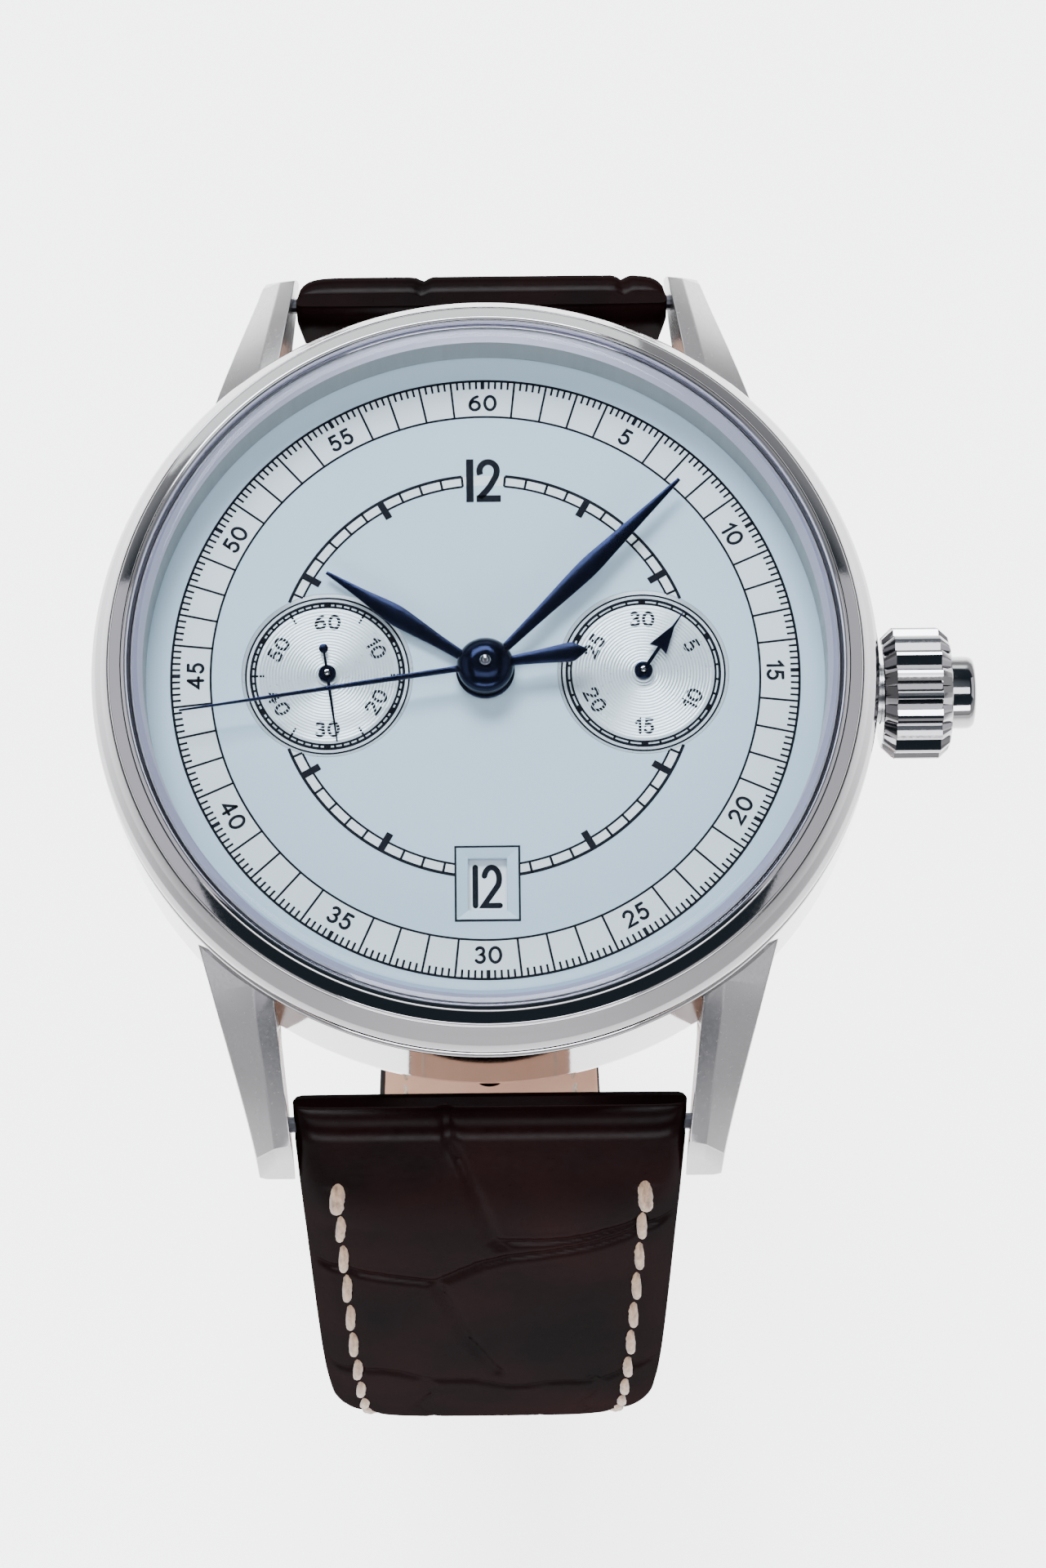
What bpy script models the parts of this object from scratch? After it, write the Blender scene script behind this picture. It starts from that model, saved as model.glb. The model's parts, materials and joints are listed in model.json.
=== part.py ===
"""A monopusher chronograph wristwatch on an open leather strap, each piece its own closed solid.

Frame: the origin is the centre of the case back's outer face, +Z points out through the crystal,
+X to the crown at 3 o'clock and +Y to 12 o'clock. Sizes below are millimetres; MM makes them metres.
"""

from math import atan2, cos, hypot, pi, radians, sin

import bmesh
import bpy
from mathutils import Matrix, Vector

MM = 0.001
MERGE = 1e-6
FLAT_ANGLE = 0.001
ROUND = 32
CASE_ROUND = 48
SMALL_ROUND = 10
BOSS_ROUND = 16

# Case, in radius and height above the case back
CASE_R = 20.0
BORE_R = 17.9
CASE_TOP = 10.4
CASE_FOOT = 2.0
BACK_R = 18.5
WINDOW_R = 14.0
BEZEL_TOP = 13.2
REHAUT_R = 17.3
CRYSTAL_R = 18.0
CRYSTAL_SEAT = 12.75
DOME_TOP = 14.05
GAP = 0.05
SEAT_R = BORE_R - GAP
GASKET_R = 17.3
FLANGE_R = 16.8

# Lugs and spring bars
LUG_ROOT = (14.4, 14.4)
LUG_TIP = (11.7, 23.95)
LUG_INNER = (10.7, 9.9)
LUG_TOP = (10.3, 5.8)
LUG_FOOT = 2.9
LUG_TIP_LEAN = 0.65
BAR_Y = 22.3
BAR_Z = 5.4
BAR_R = 0.75
PIVOT_R = 0.4

# Crown, stem and push-piece, along the stem's axis
STEM_Z = 5.9
CROWN_R = 3.43
CROWN_ROOT_R = 3.1
CROWN_FROM = 20.45
CROWN_TO = 23.96
CROWN_FLUTES = 18
CROWN_WEB = 22.0
PUSH_R = 1.875
PUSH_TO = 25.3
PUSH_FROM = 23.4
ROD_R = 0.2
ROD_END = 9.9
STEM_R = 0.42
STEM_THICK_R = 0.9
TUBE_R = 1.5

# Dial and hands
DIAL_Z = 10.0
DIAL_T = 0.4
DIAL_R = 17.8
SUBDIAL_X = 8.05
SUBDIAL_R = 4.37
DATE_Y = -11.08
DATE_SIZE = (1.95, 2.68)
HOUR_Z = 10.4
MINUTE_Z = 10.9
CHRONO_Z = 11.4
SMALL_Z = 10.12
HAND_T = 0.14
HOUR_AT = 303.5
MINUTE_AT = 45.0
CHRONO_AT = 261.7
SMALL_AT = 172.0
COUNTER_AT = 34.0

# Movement: levels above the case back
MOVEMENT_R = 14.9
BRIDGE_R = 14.85
WEIGHT_R = (11.6, 14.4)
ROTOR_Z = (2.3, 3.3)
AUTO_Z = (3.45, 3.95)
CHRONO_WORKS_Z = 4.05
BRIDGE_Z = (4.85, 5.45)
TRAIN_Z = 5.5
TRAIN_FOOT = TRAIN_Z + GAP
LEVER_TOP = 4.78
LEVER_PIVOT = (11.6, -4.8)
COLUMNS_AT = (8.6, -7.6)
ARBOR_R = 0.25
PIN_R = 0.16
PIN_FOOT = 8.9
PIN_TOP = 10.42
PLATE_Z = (7.7, 8.7)

# Going train: teeth, and centre distances between its arbors
BARREL_TEETH, CENTRE_PINION = 60, 10
CENTRE_TEETH, THIRD_PINION = 56, 7
THIRD_TEETH, FOURTH_PINION = 45, 6
FOURTH_TEETH, ESCAPE_PINION = 72, 6
BARREL_DISTANCE, CENTRE_THIRD = 5.95, 4.45
THIRD_FOURTH, FOURTH_ESCAPE = 4.0, 3.75
ESCAPE_PALLET, PALLET_BALANCE = 2.55, 3.4
BARREL_TURN, ESCAPE_TURN, PALLET_TURN = radians(70), radians(-100), radians(-60)
MOTION_DISTANCE = 3.4
CANNON_TEETH, MINUTE_TEETH, MINUTE_PINION, HOUR_TEETH = 10, 30, 8, 32
TOOTH_TIP, TOOTH_ROOT = 0.04, 0.10

# Strap: the (distance out from the case's middle, height) of each piece's centre line
STRAP_6_LINE = (
    (BAR_Y, BAR_Z), (24.4, 2.2), (26.2, -2.6), (28.5, -8.6), (30.4, -14.5), (31.2, -20), (30.8, -26),
    (29.2, -34.5), (26.2, -44.5), (22.1, -54.5), (16.6, -65), (9.8, -75.5), (1.8, -85.5), (-8.4, -95.2),
)
BUCKLE_END = (17.4, -68.7)
STRAP_12_LINE = (
    (BAR_Y, BAR_Z), (24.4, 2.2), (26.2, -2.6), (25.0, -8), (26.2, -16), (26.9, -26), (26.4, -38),
    (24.4, -50), (20.9, -59.35), BUCKLE_END,
)
BUCKLE_LEAN = atan2(-9.35, -3.5)
STRAP_WIDTH = 19.6
STRAP_END_WIDTH = 16.0
TAPER_LENGTH = 64.0
ROLL_R = 1.35
STRAP_THICK = 4.0
STRAP_END_THICK = 2.6
KEEPER_SLACK = 0.3
HOLE_PITCH = 6.5
HOLE_COUNT = 7
FIRST_HOLE = 62.0

STEEL = ((0.80, 0.80, 0.82), 0.12, 1.0)
BRUSHED = ((0.62, 0.62, 0.64), 0.35, 1.0)
BLUED = ((0.012, 0.016, 0.05), 0.2, 0.8)
ENAMEL = ((0.78, 0.83, 0.87), 0.3, 0.0)
SILVERED = ((0.72, 0.73, 0.72), 0.4, 0.6)
SAPPHIRE = ((0.85, 0.9, 0.95), 0.02, 0.0)
BRASS = ((0.75, 0.58, 0.25), 0.3, 1.0)
RHODIUM = ((0.68, 0.68, 0.70), 0.25, 1.0)
RUBBER = ((0.02, 0.02, 0.02), 0.6, 0.0)
SEAL = ((0.75, 0.75, 0.78), 0.5, 0.0)
LEATHER = ((0.022, 0.008, 0.007), 0.3, 0.0)


def clear_scene():
    for obj in list(bpy.data.objects):
        bpy.data.objects.remove(obj, do_unlink=True)


def new_collection(name):
    made = bpy.data.collections.new(name)
    bpy.context.scene.collection.children.link(made)
    return made


clear_scene()
WATCH = new_collection("chronograph_wristwatch")
CUTTERS = new_collection("cutters")


def finish(obj, look):
    colour, roughness, metallic = look
    made = bpy.data.materials.new(obj.name)
    made.use_nodes = True
    shader = made.node_tree.nodes["Principled BSDF"]
    shader.inputs["Base Color"].default_value = (*colour, 1)
    shader.inputs["Roughness"].default_value = roughness
    shader.inputs["Metallic"].default_value = metallic
    obj.data.materials.clear()
    obj.data.materials.append(made)
    return obj


def add(name, data, place=(0, 0, 0)):
    obj = bpy.data.objects.new(name, data)
    obj.location = Vector(place) * MM
    WATCH.objects.link(obj)
    return obj


def helper(obj):
    """Turns a piece into a hidden cutter or a tool for a Boolean."""
    if WATCH in obj.users_collection:
        WATCH.objects.unlink(obj)
        CUTTERS.objects.link(obj)
    obj.hide_render = True
    obj.display_type = "WIRE"
    return obj


def boolean(obj, other, operation):
    step = obj.modifiers.new(other.name, "BOOLEAN")
    step.operation = operation
    step.solver = "EXACT"
    step.object = helper(other)
    return obj


def cut(obj, *others):
    for other in others:
        boolean(obj, other, "DIFFERENCE")
    return obj


def join(obj, *others):
    for other in others:
        boolean(obj, other, "UNION")
    return obj


def from_bmesh(name, bm, place=(0, 0, 0)):
    bmesh.ops.recalc_face_normals(bm, faces=bm.faces)
    mesh = bpy.data.meshes.new(name)
    bm.to_mesh(mesh)
    bm.free()
    return add(name, mesh, place)


def turned(name, profile, place=(0, 0, 0), segments=ROUND, along="Z"):
    """A lathe-turned solid. The (radius, height) profile runs down its outer side, top to bottom."""
    mesh = bpy.data.meshes.new(name)
    points = [(r * MM, 0, z * MM) for r, z in profile]
    edges = [(i, i + 1) for i in range(len(points) - 1)]
    if profile[0][0] > 0:
        edges.append((len(points) - 1, 0))
    mesh.from_pydata(points, edges, [])
    obj = add(name, mesh, place)
    screw = obj.modifiers.new("turn", "SCREW")
    screw.steps = screw.render_steps = segments
    screw.use_merge_vertices = True
    screw.merge_threshold = MERGE
    screw.use_smooth_shade = True
    if along == "X":
        obj.rotation_euler.y = pi / 2
    return obj


def disc(name, radius, low, high, place=(0, 0, 0), segments=ROUND, along="Z"):
    return turned(name, [(0, high), (radius, high), (radius, low), (0, low)], place, segments, along)


def ring(name, outer, inner, low, high, place=(0, 0, 0), segments=ROUND, along="Z"):
    profile = [(outer, high), (outer, low), (inner, low), (inner, high)]
    return turned(name, profile, place, segments, along)


def block(name, low, high, place=(0, 0, 0)):
    bm = bmesh.new()
    bmesh.ops.create_cube(bm, size=1.0)
    size = (Vector(high) - Vector(low)) * MM
    middle = (Vector(high) + Vector(low)) * MM / 2
    for vert in bm.verts:
        vert.co = Vector(a * b for a, b in zip(vert.co, size)) + middle
    return from_bmesh(name, bm, place)


def flat(name, outlines, low, high, place=(0, 0, 0)):
    """A plate of one outline, and of any holes in it, from one height to another."""
    curve = bpy.data.curves.new(name, "CURVE")
    curve.dimensions = "2D"
    curve.fill_mode = "BOTH"
    curve.extrude = (high - low) / 2 * MM
    for outline in outlines:
        spline = curve.splines.new("POLY")
        spline.points.add(len(outline) - 1)
        for point, (x, y) in zip(spline.points, outline):
            point.co = (x * MM, y * MM, 0, 1)
        spline.use_cyclic_u = True
    shape = bpy.data.objects.new(name, curve)
    WATCH.objects.link(shape)
    mesh = bpy.data.meshes.new_from_object(shape.evaluated_get(bpy.context.evaluated_depsgraph_get()))
    bpy.data.objects.remove(shape)
    bm = bmesh.new()
    bm.from_mesh(mesh)
    bmesh.ops.translate(bm, verts=bm.verts, vec=(0, 0, (high + low) / 2 * MM))
    bmesh.ops.remove_doubles(bm, verts=bm.verts, dist=MERGE)
    bmesh.ops.dissolve_limit(bm, angle_limit=FLAT_ANGLE, verts=bm.verts, edges=bm.edges)
    bpy.data.meshes.remove(mesh)
    return from_bmesh(name, bm, place)


def loft(name, rings, place=(0, 0, 0)):
    """A closed solid through rings of points that all have the same count."""
    bm = bmesh.new()
    rows = [[bm.verts.new(Vector(point) * MM) for point in row] for row in rings]
    for near, far in zip(rows, rows[1:]):
        for i in range(len(near)):
            j = (i + 1) % len(near)
            bm.faces.new((near[i], near[j], far[j], far[i]))
    bm.faces.new(reversed(rows[0]))
    bm.faces.new(rows[-1])
    return from_bmesh(name, bm, place)


def circle(radius, count, centre=(0, 0), start=0.0):
    angles = [start + 2 * pi * i / count for i in range(count)]
    return [(centre[0] + radius * cos(a), centre[1] + radius * sin(a)) for a in angles]


def arc(radius, first, last, steps):
    angles = [first + (last - first) * i / steps for i in range(steps + 1)]
    return [(radius * cos(a), radius * sin(a)) for a in angles]


def teeth_outline(count, pitch_radius, phase=0.0, tip=TOOTH_TIP, root=TOOTH_ROOT):
    """A zigzag of V teeth: a tip at the phase angle, then a root half a pitch on."""
    radii = (pitch_radius + tip, pitch_radius - root)
    angles = [phase + pi * i / count for i in range(2 * count)]
    return [(radii[i % 2] * cos(a), radii[i % 2] * sin(a)) for i, a in enumerate(angles)]


def mesh_phase(phase, teeth, other_teeth, direction):
    """The phase of a gear that lies in this direction from one with the given phase, in mesh with it."""
    return direction + pi - (phase - direction) * teeth / other_teeth - pi / other_teeth


def strip(path, half):
    """The outline of a flat strip of constant width along a path."""
    left, right = [], []
    for i, point in enumerate(path):
        before = Vector(path[max(i - 1, 0)])
        after = Vector(path[min(i + 1, len(path) - 1)])
        side = (after - before).normalized().orthogonal() * half
        left.append(tuple(Vector(point) + side))
        right.append(tuple(Vector(point) - side))
    return left + right[::-1]


def rotated(outline, turn):
    return [(x * cos(turn) - y * sin(turn), x * sin(turn) + y * cos(turn)) for x, y in outline]


def polar(distance, angle, centre=(0, 0)):
    return centre[0] + distance * cos(angle), centre[1] + distance * sin(angle)


def pitch(distance, teeth, other_teeth):
    """The pitch radius of a gear, from its centre distance and both tooth counts."""
    return distance * teeth / (teeth + other_teeth)


# Case -----------------------------------------------------------------------------------------------


def lug(name, side, end):
    """One lug, from inside the case wall to its tip: a narrow top facet and a wide outer bevel."""
    rings = []
    fall = LUG_TIP[1] - 13.0
    for station in (13.0, 16.5, 19.5, 22.0, LUG_TIP[1]):
        along = (station - LUG_ROOT[1]) / (LUG_TIP[1] - LUG_ROOT[1])
        outer = LUG_ROOT[0] + (LUG_TIP[0] - LUG_ROOT[0]) * along
        inner = LUG_INNER[0] + (LUG_INNER[1] - LUG_INNER[0]) * max(0, (station - 16.9) / 7.05)
        share = (station - 13.0) / fall
        top = LUG_TOP[0] - (LUG_TOP[0] - LUG_TOP[1]) * share**1.7
        crease = inner + 1.15 - 0.3 * share
        lean = LUG_TIP_LEAN if station == LUG_TIP[1] else 0
        section = (
            (inner, station, top), (crease, station, top), (outer, station + lean * 0.3, top - 1.0),
            (outer, station + lean, LUG_FOOT + 0.3), (outer - 0.35, station + lean, LUG_FOOT),
            (inner, station + lean, LUG_FOOT),
        )
        rings.append([(side * x, end * y, z) for x, y, z in section])
    return loft(name, rings)


def build_case():
    outside = [
        (0, CASE_TOP), (19.75, CASE_TOP), (CASE_R, CASE_TOP - 0.25), (CASE_R, 4.4), (19.85, 3.4),
        (19.5, CASE_FOOT + 0.1), (19.4, CASE_FOOT), (0, CASE_FOOT),
    ]
    case = turned("mid_case", outside, segments=CASE_ROUND)
    corners = [(side, end) for side in (-1, 1) for end in (-1, 1)]
    join(case, *[lug(f"lug_{i}", side, end) for i, (side, end) in enumerate(corners)])
    cut(case, disc("case_bore", BORE_R, 1, 12, segments=CASE_ROUND))
    cut(case, disc("tube_hole", TUBE_R + GAP, 16, 22, (0, 0, STEM_Z), BOSS_ROUND, "X"))
    for end in (-1, 1):
        place = (0, end * BAR_Y, BAR_Z)
        cut(case, disc(f"bar_hole_{end}", PIVOT_R + GAP, -10.75, 10.75, place, SMALL_ROUND, "X"))
    finish(case, STEEL)

    bezel = [
        (18.15, BEZEL_TOP), (18.37, 13.1), (19.0, 12.75), (19.45, 12.1), (CASE_R, 11.4), (CASE_R, 11.05),
        (19.7, 10.75), (19.7, CASE_TOP + GAP), (BORE_R + 0.02, CASE_TOP + GAP),
        (BORE_R + 0.02, CRYSTAL_SEAT - GAP), (18.4, CRYSTAL_SEAT - GAP), (18.4, 13.08),
        (18.08, 13.12),
    ]
    finish(turned("bezel", bezel, segments=CASE_ROUND), STEEL)
    seal = [(18.35, 13.03), (18.35, CRYSTAL_SEAT), (18.05, CRYSTAL_SEAT), (18.05, 13.03)]
    finish(turned("crystal_gasket", seal), SEAL)
    crystal = [
        (0, DOME_TOP), (6, DOME_TOP - 0.05), (12, DOME_TOP - 0.2), (17.45, 13.62),
        (CRYSTAL_R, 13.2), (CRYSTAL_R, CRYSTAL_SEAT), (0, CRYSTAL_SEAT),
    ]
    finish(turned("crystal", crystal), SAPPHIRE)
    finish(ring("rehaut_ring", SEAT_R, REHAUT_R, DIAL_Z + GAP, CRYSTAL_SEAT - GAP), BRUSHED)

    back = [
        (BACK_R, CASE_FOOT - GAP), (BACK_R, 0.6), (17.7, 0), (WINDOW_R + GAP, 0),
        (WINDOW_R + GAP, 1.2), (14.85, 1.2), (14.85, CASE_FOOT - GAP), (FLANGE_R, CASE_FOOT - GAP),
        (FLANGE_R, 3.1), (GASKET_R - GAP, 3.1), (GASKET_R - GAP, CASE_FOOT - GAP),
    ]
    finish(turned("case_back_ring", back), STEEL)
    window = [
        (0, 1.95), (14.8, 1.95), (14.8, 1.25), (WINDOW_R, 1.25), (WINDOW_R, 0), (0, 0),
    ]
    finish(turned("case_back_window", window), SAPPHIRE)
    finish(ring("case_back_gasket", SEAT_R, GASKET_R, CASE_FOOT, 2.55), RUBBER)
    finish(ring("crown_tube", TUBE_R, 1.0, BORE_R + 0.1, 21.9, (0, 0, STEM_Z), BOSS_ROUND, "X"), STEEL)


def build_spring_bars():
    for name, end in (("spring_bar_12", 1), ("spring_bar_6", -1)):
        profile = [
            (0, 10.6), (PIVOT_R, 10.6), (PIVOT_R, 9.6), (BAR_R, 9.55), (BAR_R, -9.55),
            (PIVOT_R, -9.6), (PIVOT_R, -10.6), (0, -10.6),
        ]
        place = (0, end * BAR_Y, BAR_Z)
        finish(turned(name, profile, place, SMALL_ROUND, "X"), STEEL)


# Crown, stem and push-piece ----------------------------------------------------------------------------


def crown_ring(station, tip, root):
    points = []
    for i in range(2 * CROWN_FLUTES):
        radius = root if i % 2 else tip
        angle = pi * i / CROWN_FLUTES
        points.append((station, radius * cos(angle), radius * sin(angle)))
    return points


def build_crown():
    rings = (
        crown_ring(CROWN_FROM, 2.8, 2.75), crown_ring(CROWN_FROM + 0.64, CROWN_R, CROWN_ROOT_R),
        crown_ring(CROWN_TO - 0.55, CROWN_R, CROWN_ROOT_R), crown_ring(CROWN_TO, 2.9, 2.85),
    )
    crown = loft("crown", rings, (0, 0, STEM_Z))
    bores = [
        (0, 25), (PUSH_R + GAP, 25), (PUSH_R + GAP, CROWN_WEB + 0.3), (0.3, CROWN_WEB + 0.3),
        (0.3, CROWN_WEB), (TUBE_R + 0.1, CROWN_WEB), (TUBE_R + 0.1, 20), (0, 20),
    ]
    cut(crown, turned("crown_bores", bores, (0, 0, STEM_Z), BOSS_ROUND, "X"))
    finish(crown, STEEL)

    stem = [
        (STEM_THICK_R, CROWN_WEB - GAP), (STEM_THICK_R, 17.0), (STEM_R, 16.6), (STEM_R, ROD_END + 0.2),
        (0.28, ROD_END + 0.2), (0.28, CROWN_WEB - GAP),
    ]
    finish(turned("winding_stem", stem, (0, 0, STEM_Z), SMALL_ROUND, "X"), STEEL)

    push = [
        (0, PUSH_TO), (PUSH_R - 0.3, PUSH_TO), (PUSH_R - 0.09, PUSH_TO - 0.09), (PUSH_R, PUSH_TO - 0.3),
        (PUSH_R, PUSH_FROM), (ROD_R, PUSH_FROM), (ROD_R, ROD_END), (0, ROD_END),
    ]
    finish(turned("push_piece", push, (0, 0, STEM_Z), BOSS_ROUND, "X"), STEEL)

    turns, steps, radius = 3, 10, 1.3
    rise = (PUSH_FROM - CROWN_WEB - 0.3 - 0.5) / (turns * steps)
    points = []
    for i in range(turns * steps + 1):
        angle = 2 * pi * i / steps
        points.append((CROWN_WEB + 0.55 + rise * i, radius * cos(angle), radius * sin(angle)))
    finish(wire("push_spring", points, 0.09, (0, 0, STEM_Z)), STEEL)

    pinion = flat("sliding_pinion", [teeth_outline(12, 0.95), circle(0.5, SMALL_ROUND)], 12.0, 13.6)
    pinion.location.z = STEM_Z * MM
    pinion.rotation_euler.y = pi / 2
    finish(pinion, BRUSHED)


def wire(name, points, radius, place=(0, 0, 0)):
    curve = bpy.data.curves.new(name, "CURVE")
    curve.dimensions = "3D"
    curve.bevel_depth = radius * MM
    curve.bevel_resolution = 0
    curve.use_fill_caps = True
    spline = curve.splines.new("POLY")
    spline.points.add(len(points) - 1)
    for point, at in zip(spline.points, points):
        point.co = (*(Vector(at) * MM), 1)
    return add(name, curve, place)


# Dial and hands -----------------------------------------------------------------------------------------


def build_dial():
    low = DIAL_Z - DIAL_T
    width, height = DATE_SIZE
    window = [
        (-width / 2, DATE_Y - height / 2), (width / 2, DATE_Y - height / 2),
        (width / 2, DATE_Y + height / 2), (-width / 2, DATE_Y + height / 2),
    ]
    holes = [circle(1.35, BOSS_ROUND), window]
    holes += [circle(SUBDIAL_R, ROUND, (side * SUBDIAL_X, 0)) for side in (-1, 1)]
    finish(flat("dial", [circle(DIAL_R, CASE_ROUND)] + holes, low, DIAL_Z), ENAMEL)
    for name, side in (("small_seconds_subdial", -1), ("minute_counter_subdial", 1)):
        outlines = [circle(SUBDIAL_R - 0.03, ROUND), circle(0.32, SMALL_ROUND)]
        plate = flat(name, outlines, low + 0.02, DIAL_Z - 0.15, (side * SUBDIAL_X, 0, 0))
        finish(plate, SILVERED)
    finish(ring("date_disc", 13.1, 8.9, 9.1, 9.4), ENAMEL)


def hand_outline(hub, blade, tail=()):
    """A hand that points along +Y. Blade and tail are (distance, half width) from the hub outwards."""
    points = []
    for limb, turn in ((blade, 1), (tail, -1)):
        if not limb:
            points += [polar(hub, turn * pi / 2 + a) for a in (-pi / 7, 0, pi / 7)]
        points += [(turn * half, turn * at) for at, half in limb]
        points += [(-turn * half, turn * at) for at, half in reversed(limb)]
        points += [polar(hub, pi / 2 + turn * pi / 2 + a) for a in (-pi / 5, 0, pi / 5)]
    return points


def hand(name, outline, bore, place, at):
    """The hand's plate, turned clockwise from 12 o'clock."""
    return flat(name, [rotated(outline, radians(-at)), circle(bore, SMALL_ROUND)], 0, HAND_T, place)


def build_hands():
    leaf = [(1.4, 0.42), (2.9, 0.36), (4.2, 0.52), (5.2, 0.63), (6.2, 0.55), (7.3, 0.34), (9.75, 0.06)]
    finish(hand("hour_hand", hand_outline(1.5, leaf), 1.24, (0, 0, HOUR_Z), HOUR_AT), BLUED)

    leaf = [(1.3, 0.42), (4.1, 0.34), (5.8, 0.5), (7.3, 0.63), (8.5, 0.57), (10.4, 0.34), (14.3, 0.05)]
    finish(hand("minute_hand", hand_outline(1.4, leaf), 0.87, (0, 0, MINUTE_Z), MINUTE_AT), BLUED)

    needle = [(1.3, 0.17), (9.0, 0.1), (15.65, 0.04)]
    tail = [(1.3, 0.26), (2.4, 0.28), (3.4, 0.4), (4.1, 0.47), (4.6, 0.38), (5.05, 0.05)]
    place = (0, 0, CHRONO_Z)
    chrono = hand("chrono_seconds_hand", hand_outline(1.4, needle, tail), 0.3, place, CHRONO_AT)
    dome = [
        (0.3, 0.77), (0.7, 0.72), (1.1, 0.55), (1.35, 0.3), (1.45, 0.05), (1.45, -0.08), (0.3, -0.08),
    ]
    join(chrono, turned("chrono_hub", dome, place, BOSS_ROUND))
    finish(chrono, BLUED)

    place = (-SUBDIAL_X, 0, SMALL_Z)
    tail = [(0.4, 0.07), (1.15, 0.07), (1.2, 0.2), (1.35, 0.24), (1.5, 0.2), (1.6, 0.08)]
    outline = hand_outline(0.45, [(0.4, 0.09), (3.65, 0.04)], tail)
    finish(hand("small_seconds_hand", outline, 0.2, place, SMALL_AT), BLUED)

    place = (SUBDIAL_X, 0, SMALL_Z)
    arrow = [(0.4, 0.1), (1.55, 0.1), (1.35, 0.5), (2.9, 0.07), (3.7, 0.03)]
    outline = hand_outline(0.47, arrow)
    finish(hand("minute_counter_hand", outline, 0.2, place, COUNTER_AT), BLUED)


# Movement -------------------------------------------------------------------------------------------------


def wheel(name, place, profile, gears, look=BRASS, bore=None):
    """An arbor with its toothed discs as one body: gears are (teeth, pitch radius, phase, low, high)."""
    at = (*place, 0)
    made = turned(name, profile, at, SMALL_ROUND)
    for i, (teeth, radius, phase, low, high) in enumerate(gears):
        join(made, flat(f"{name}_teeth_{i}", [teeth_outline(teeth, radius, phase)], low, high, at))
    if bore:
        cut(made, disc(f"{name}_bore", bore, 0, 20, at, SMALL_ROUND))
    return finish(made, look)


def arbor(radius, low, high):
    return [(0, high), (radius, high), (radius, low), (0, low)]


def subdial_post(low):
    """The arbor of a subdial's hand: it thins to a pin that carries the hand."""
    return [
        (0, PIN_TOP), (PIN_R, PIN_TOP), (PIN_R, PIN_FOOT), (ARBOR_R, PIN_FOOT), (ARBOR_R, low), (0, low),
    ]


def train_places():
    """The arbor positions of the going train, from the centre distances."""
    fourth = (-SUBDIAL_X, 0)
    x = -(CENTRE_THIRD**2 - THIRD_FOURTH**2 + SUBDIAL_X**2) / (2 * SUBDIAL_X)
    third = (x, -((CENTRE_THIRD**2 - x**2) ** 0.5))
    escape = polar(FOURTH_ESCAPE, ESCAPE_TURN, fourth)
    pallet = polar(ESCAPE_PALLET, PALLET_TURN, escape)
    return {
        "barrel": polar(BARREL_DISTANCE, BARREL_TURN),
        "third": third,
        "fourth": fourth,
        "escape": escape,
        "pallet": pallet,
        "balance": polar(PALLET_BALANCE, PALLET_TURN, pallet),
    }


def direction(start, end):
    return atan2(end[1] - start[1], end[0] - start[0])


def build_going_train(at):
    towards = BARREL_TURN
    phase = mesh_phase(0, BARREL_TEETH, CENTRE_PINION, towards + pi)
    drum = [(0, 7.4), (0.6, 7.4), (0.6, 6.9), (4.8, 6.9), (4.8, TRAIN_FOOT), (0, TRAIN_FOOT)]
    radius = pitch(BARREL_DISTANCE, BARREL_TEETH, CENTRE_PINION)
    wheel("mainspring_barrel", at["barrel"], drum, [(BARREL_TEETH, radius, 0, 5.6, 5.9)])

    gears = [
        (CENTRE_PINION, pitch(BARREL_DISTANCE, CENTRE_PINION, BARREL_TEETH), phase, 5.6, 6.0),
        (CENTRE_TEETH, pitch(CENTRE_THIRD, CENTRE_TEETH, THIRD_PINION), 0, 7.1, 7.3),
    ]
    wheel("centre_wheel", (0, 0), arbor(0.55, TRAIN_FOOT, 10.8), gears, bore=0.36)

    towards = direction((0, 0), at["third"])
    phase = mesh_phase(0, CENTRE_TEETH, THIRD_PINION, towards)
    gears = [
        (THIRD_PINION, pitch(CENTRE_THIRD, THIRD_PINION, CENTRE_TEETH), phase, 7.0, 7.4),
        (THIRD_TEETH, pitch(THIRD_FOURTH, THIRD_TEETH, FOURTH_PINION), 0, 6.5, 6.7),
    ]
    wheel("third_wheel", at["third"], arbor(ARBOR_R, TRAIN_FOOT, 7.6), gears)

    towards = direction(at["third"], at["fourth"])
    phase = mesh_phase(0, THIRD_TEETH, FOURTH_PINION, towards)
    gears = [
        (FOURTH_PINION, pitch(THIRD_FOURTH, FOURTH_PINION, THIRD_TEETH), phase, 6.4, 6.8),
        (FOURTH_TEETH, pitch(FOURTH_ESCAPE, FOURTH_TEETH, ESCAPE_PINION), 0, 5.9, 6.1),
    ]
    wheel("fourth_wheel", at["fourth"], subdial_post(TRAIN_FOOT), gears)


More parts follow.
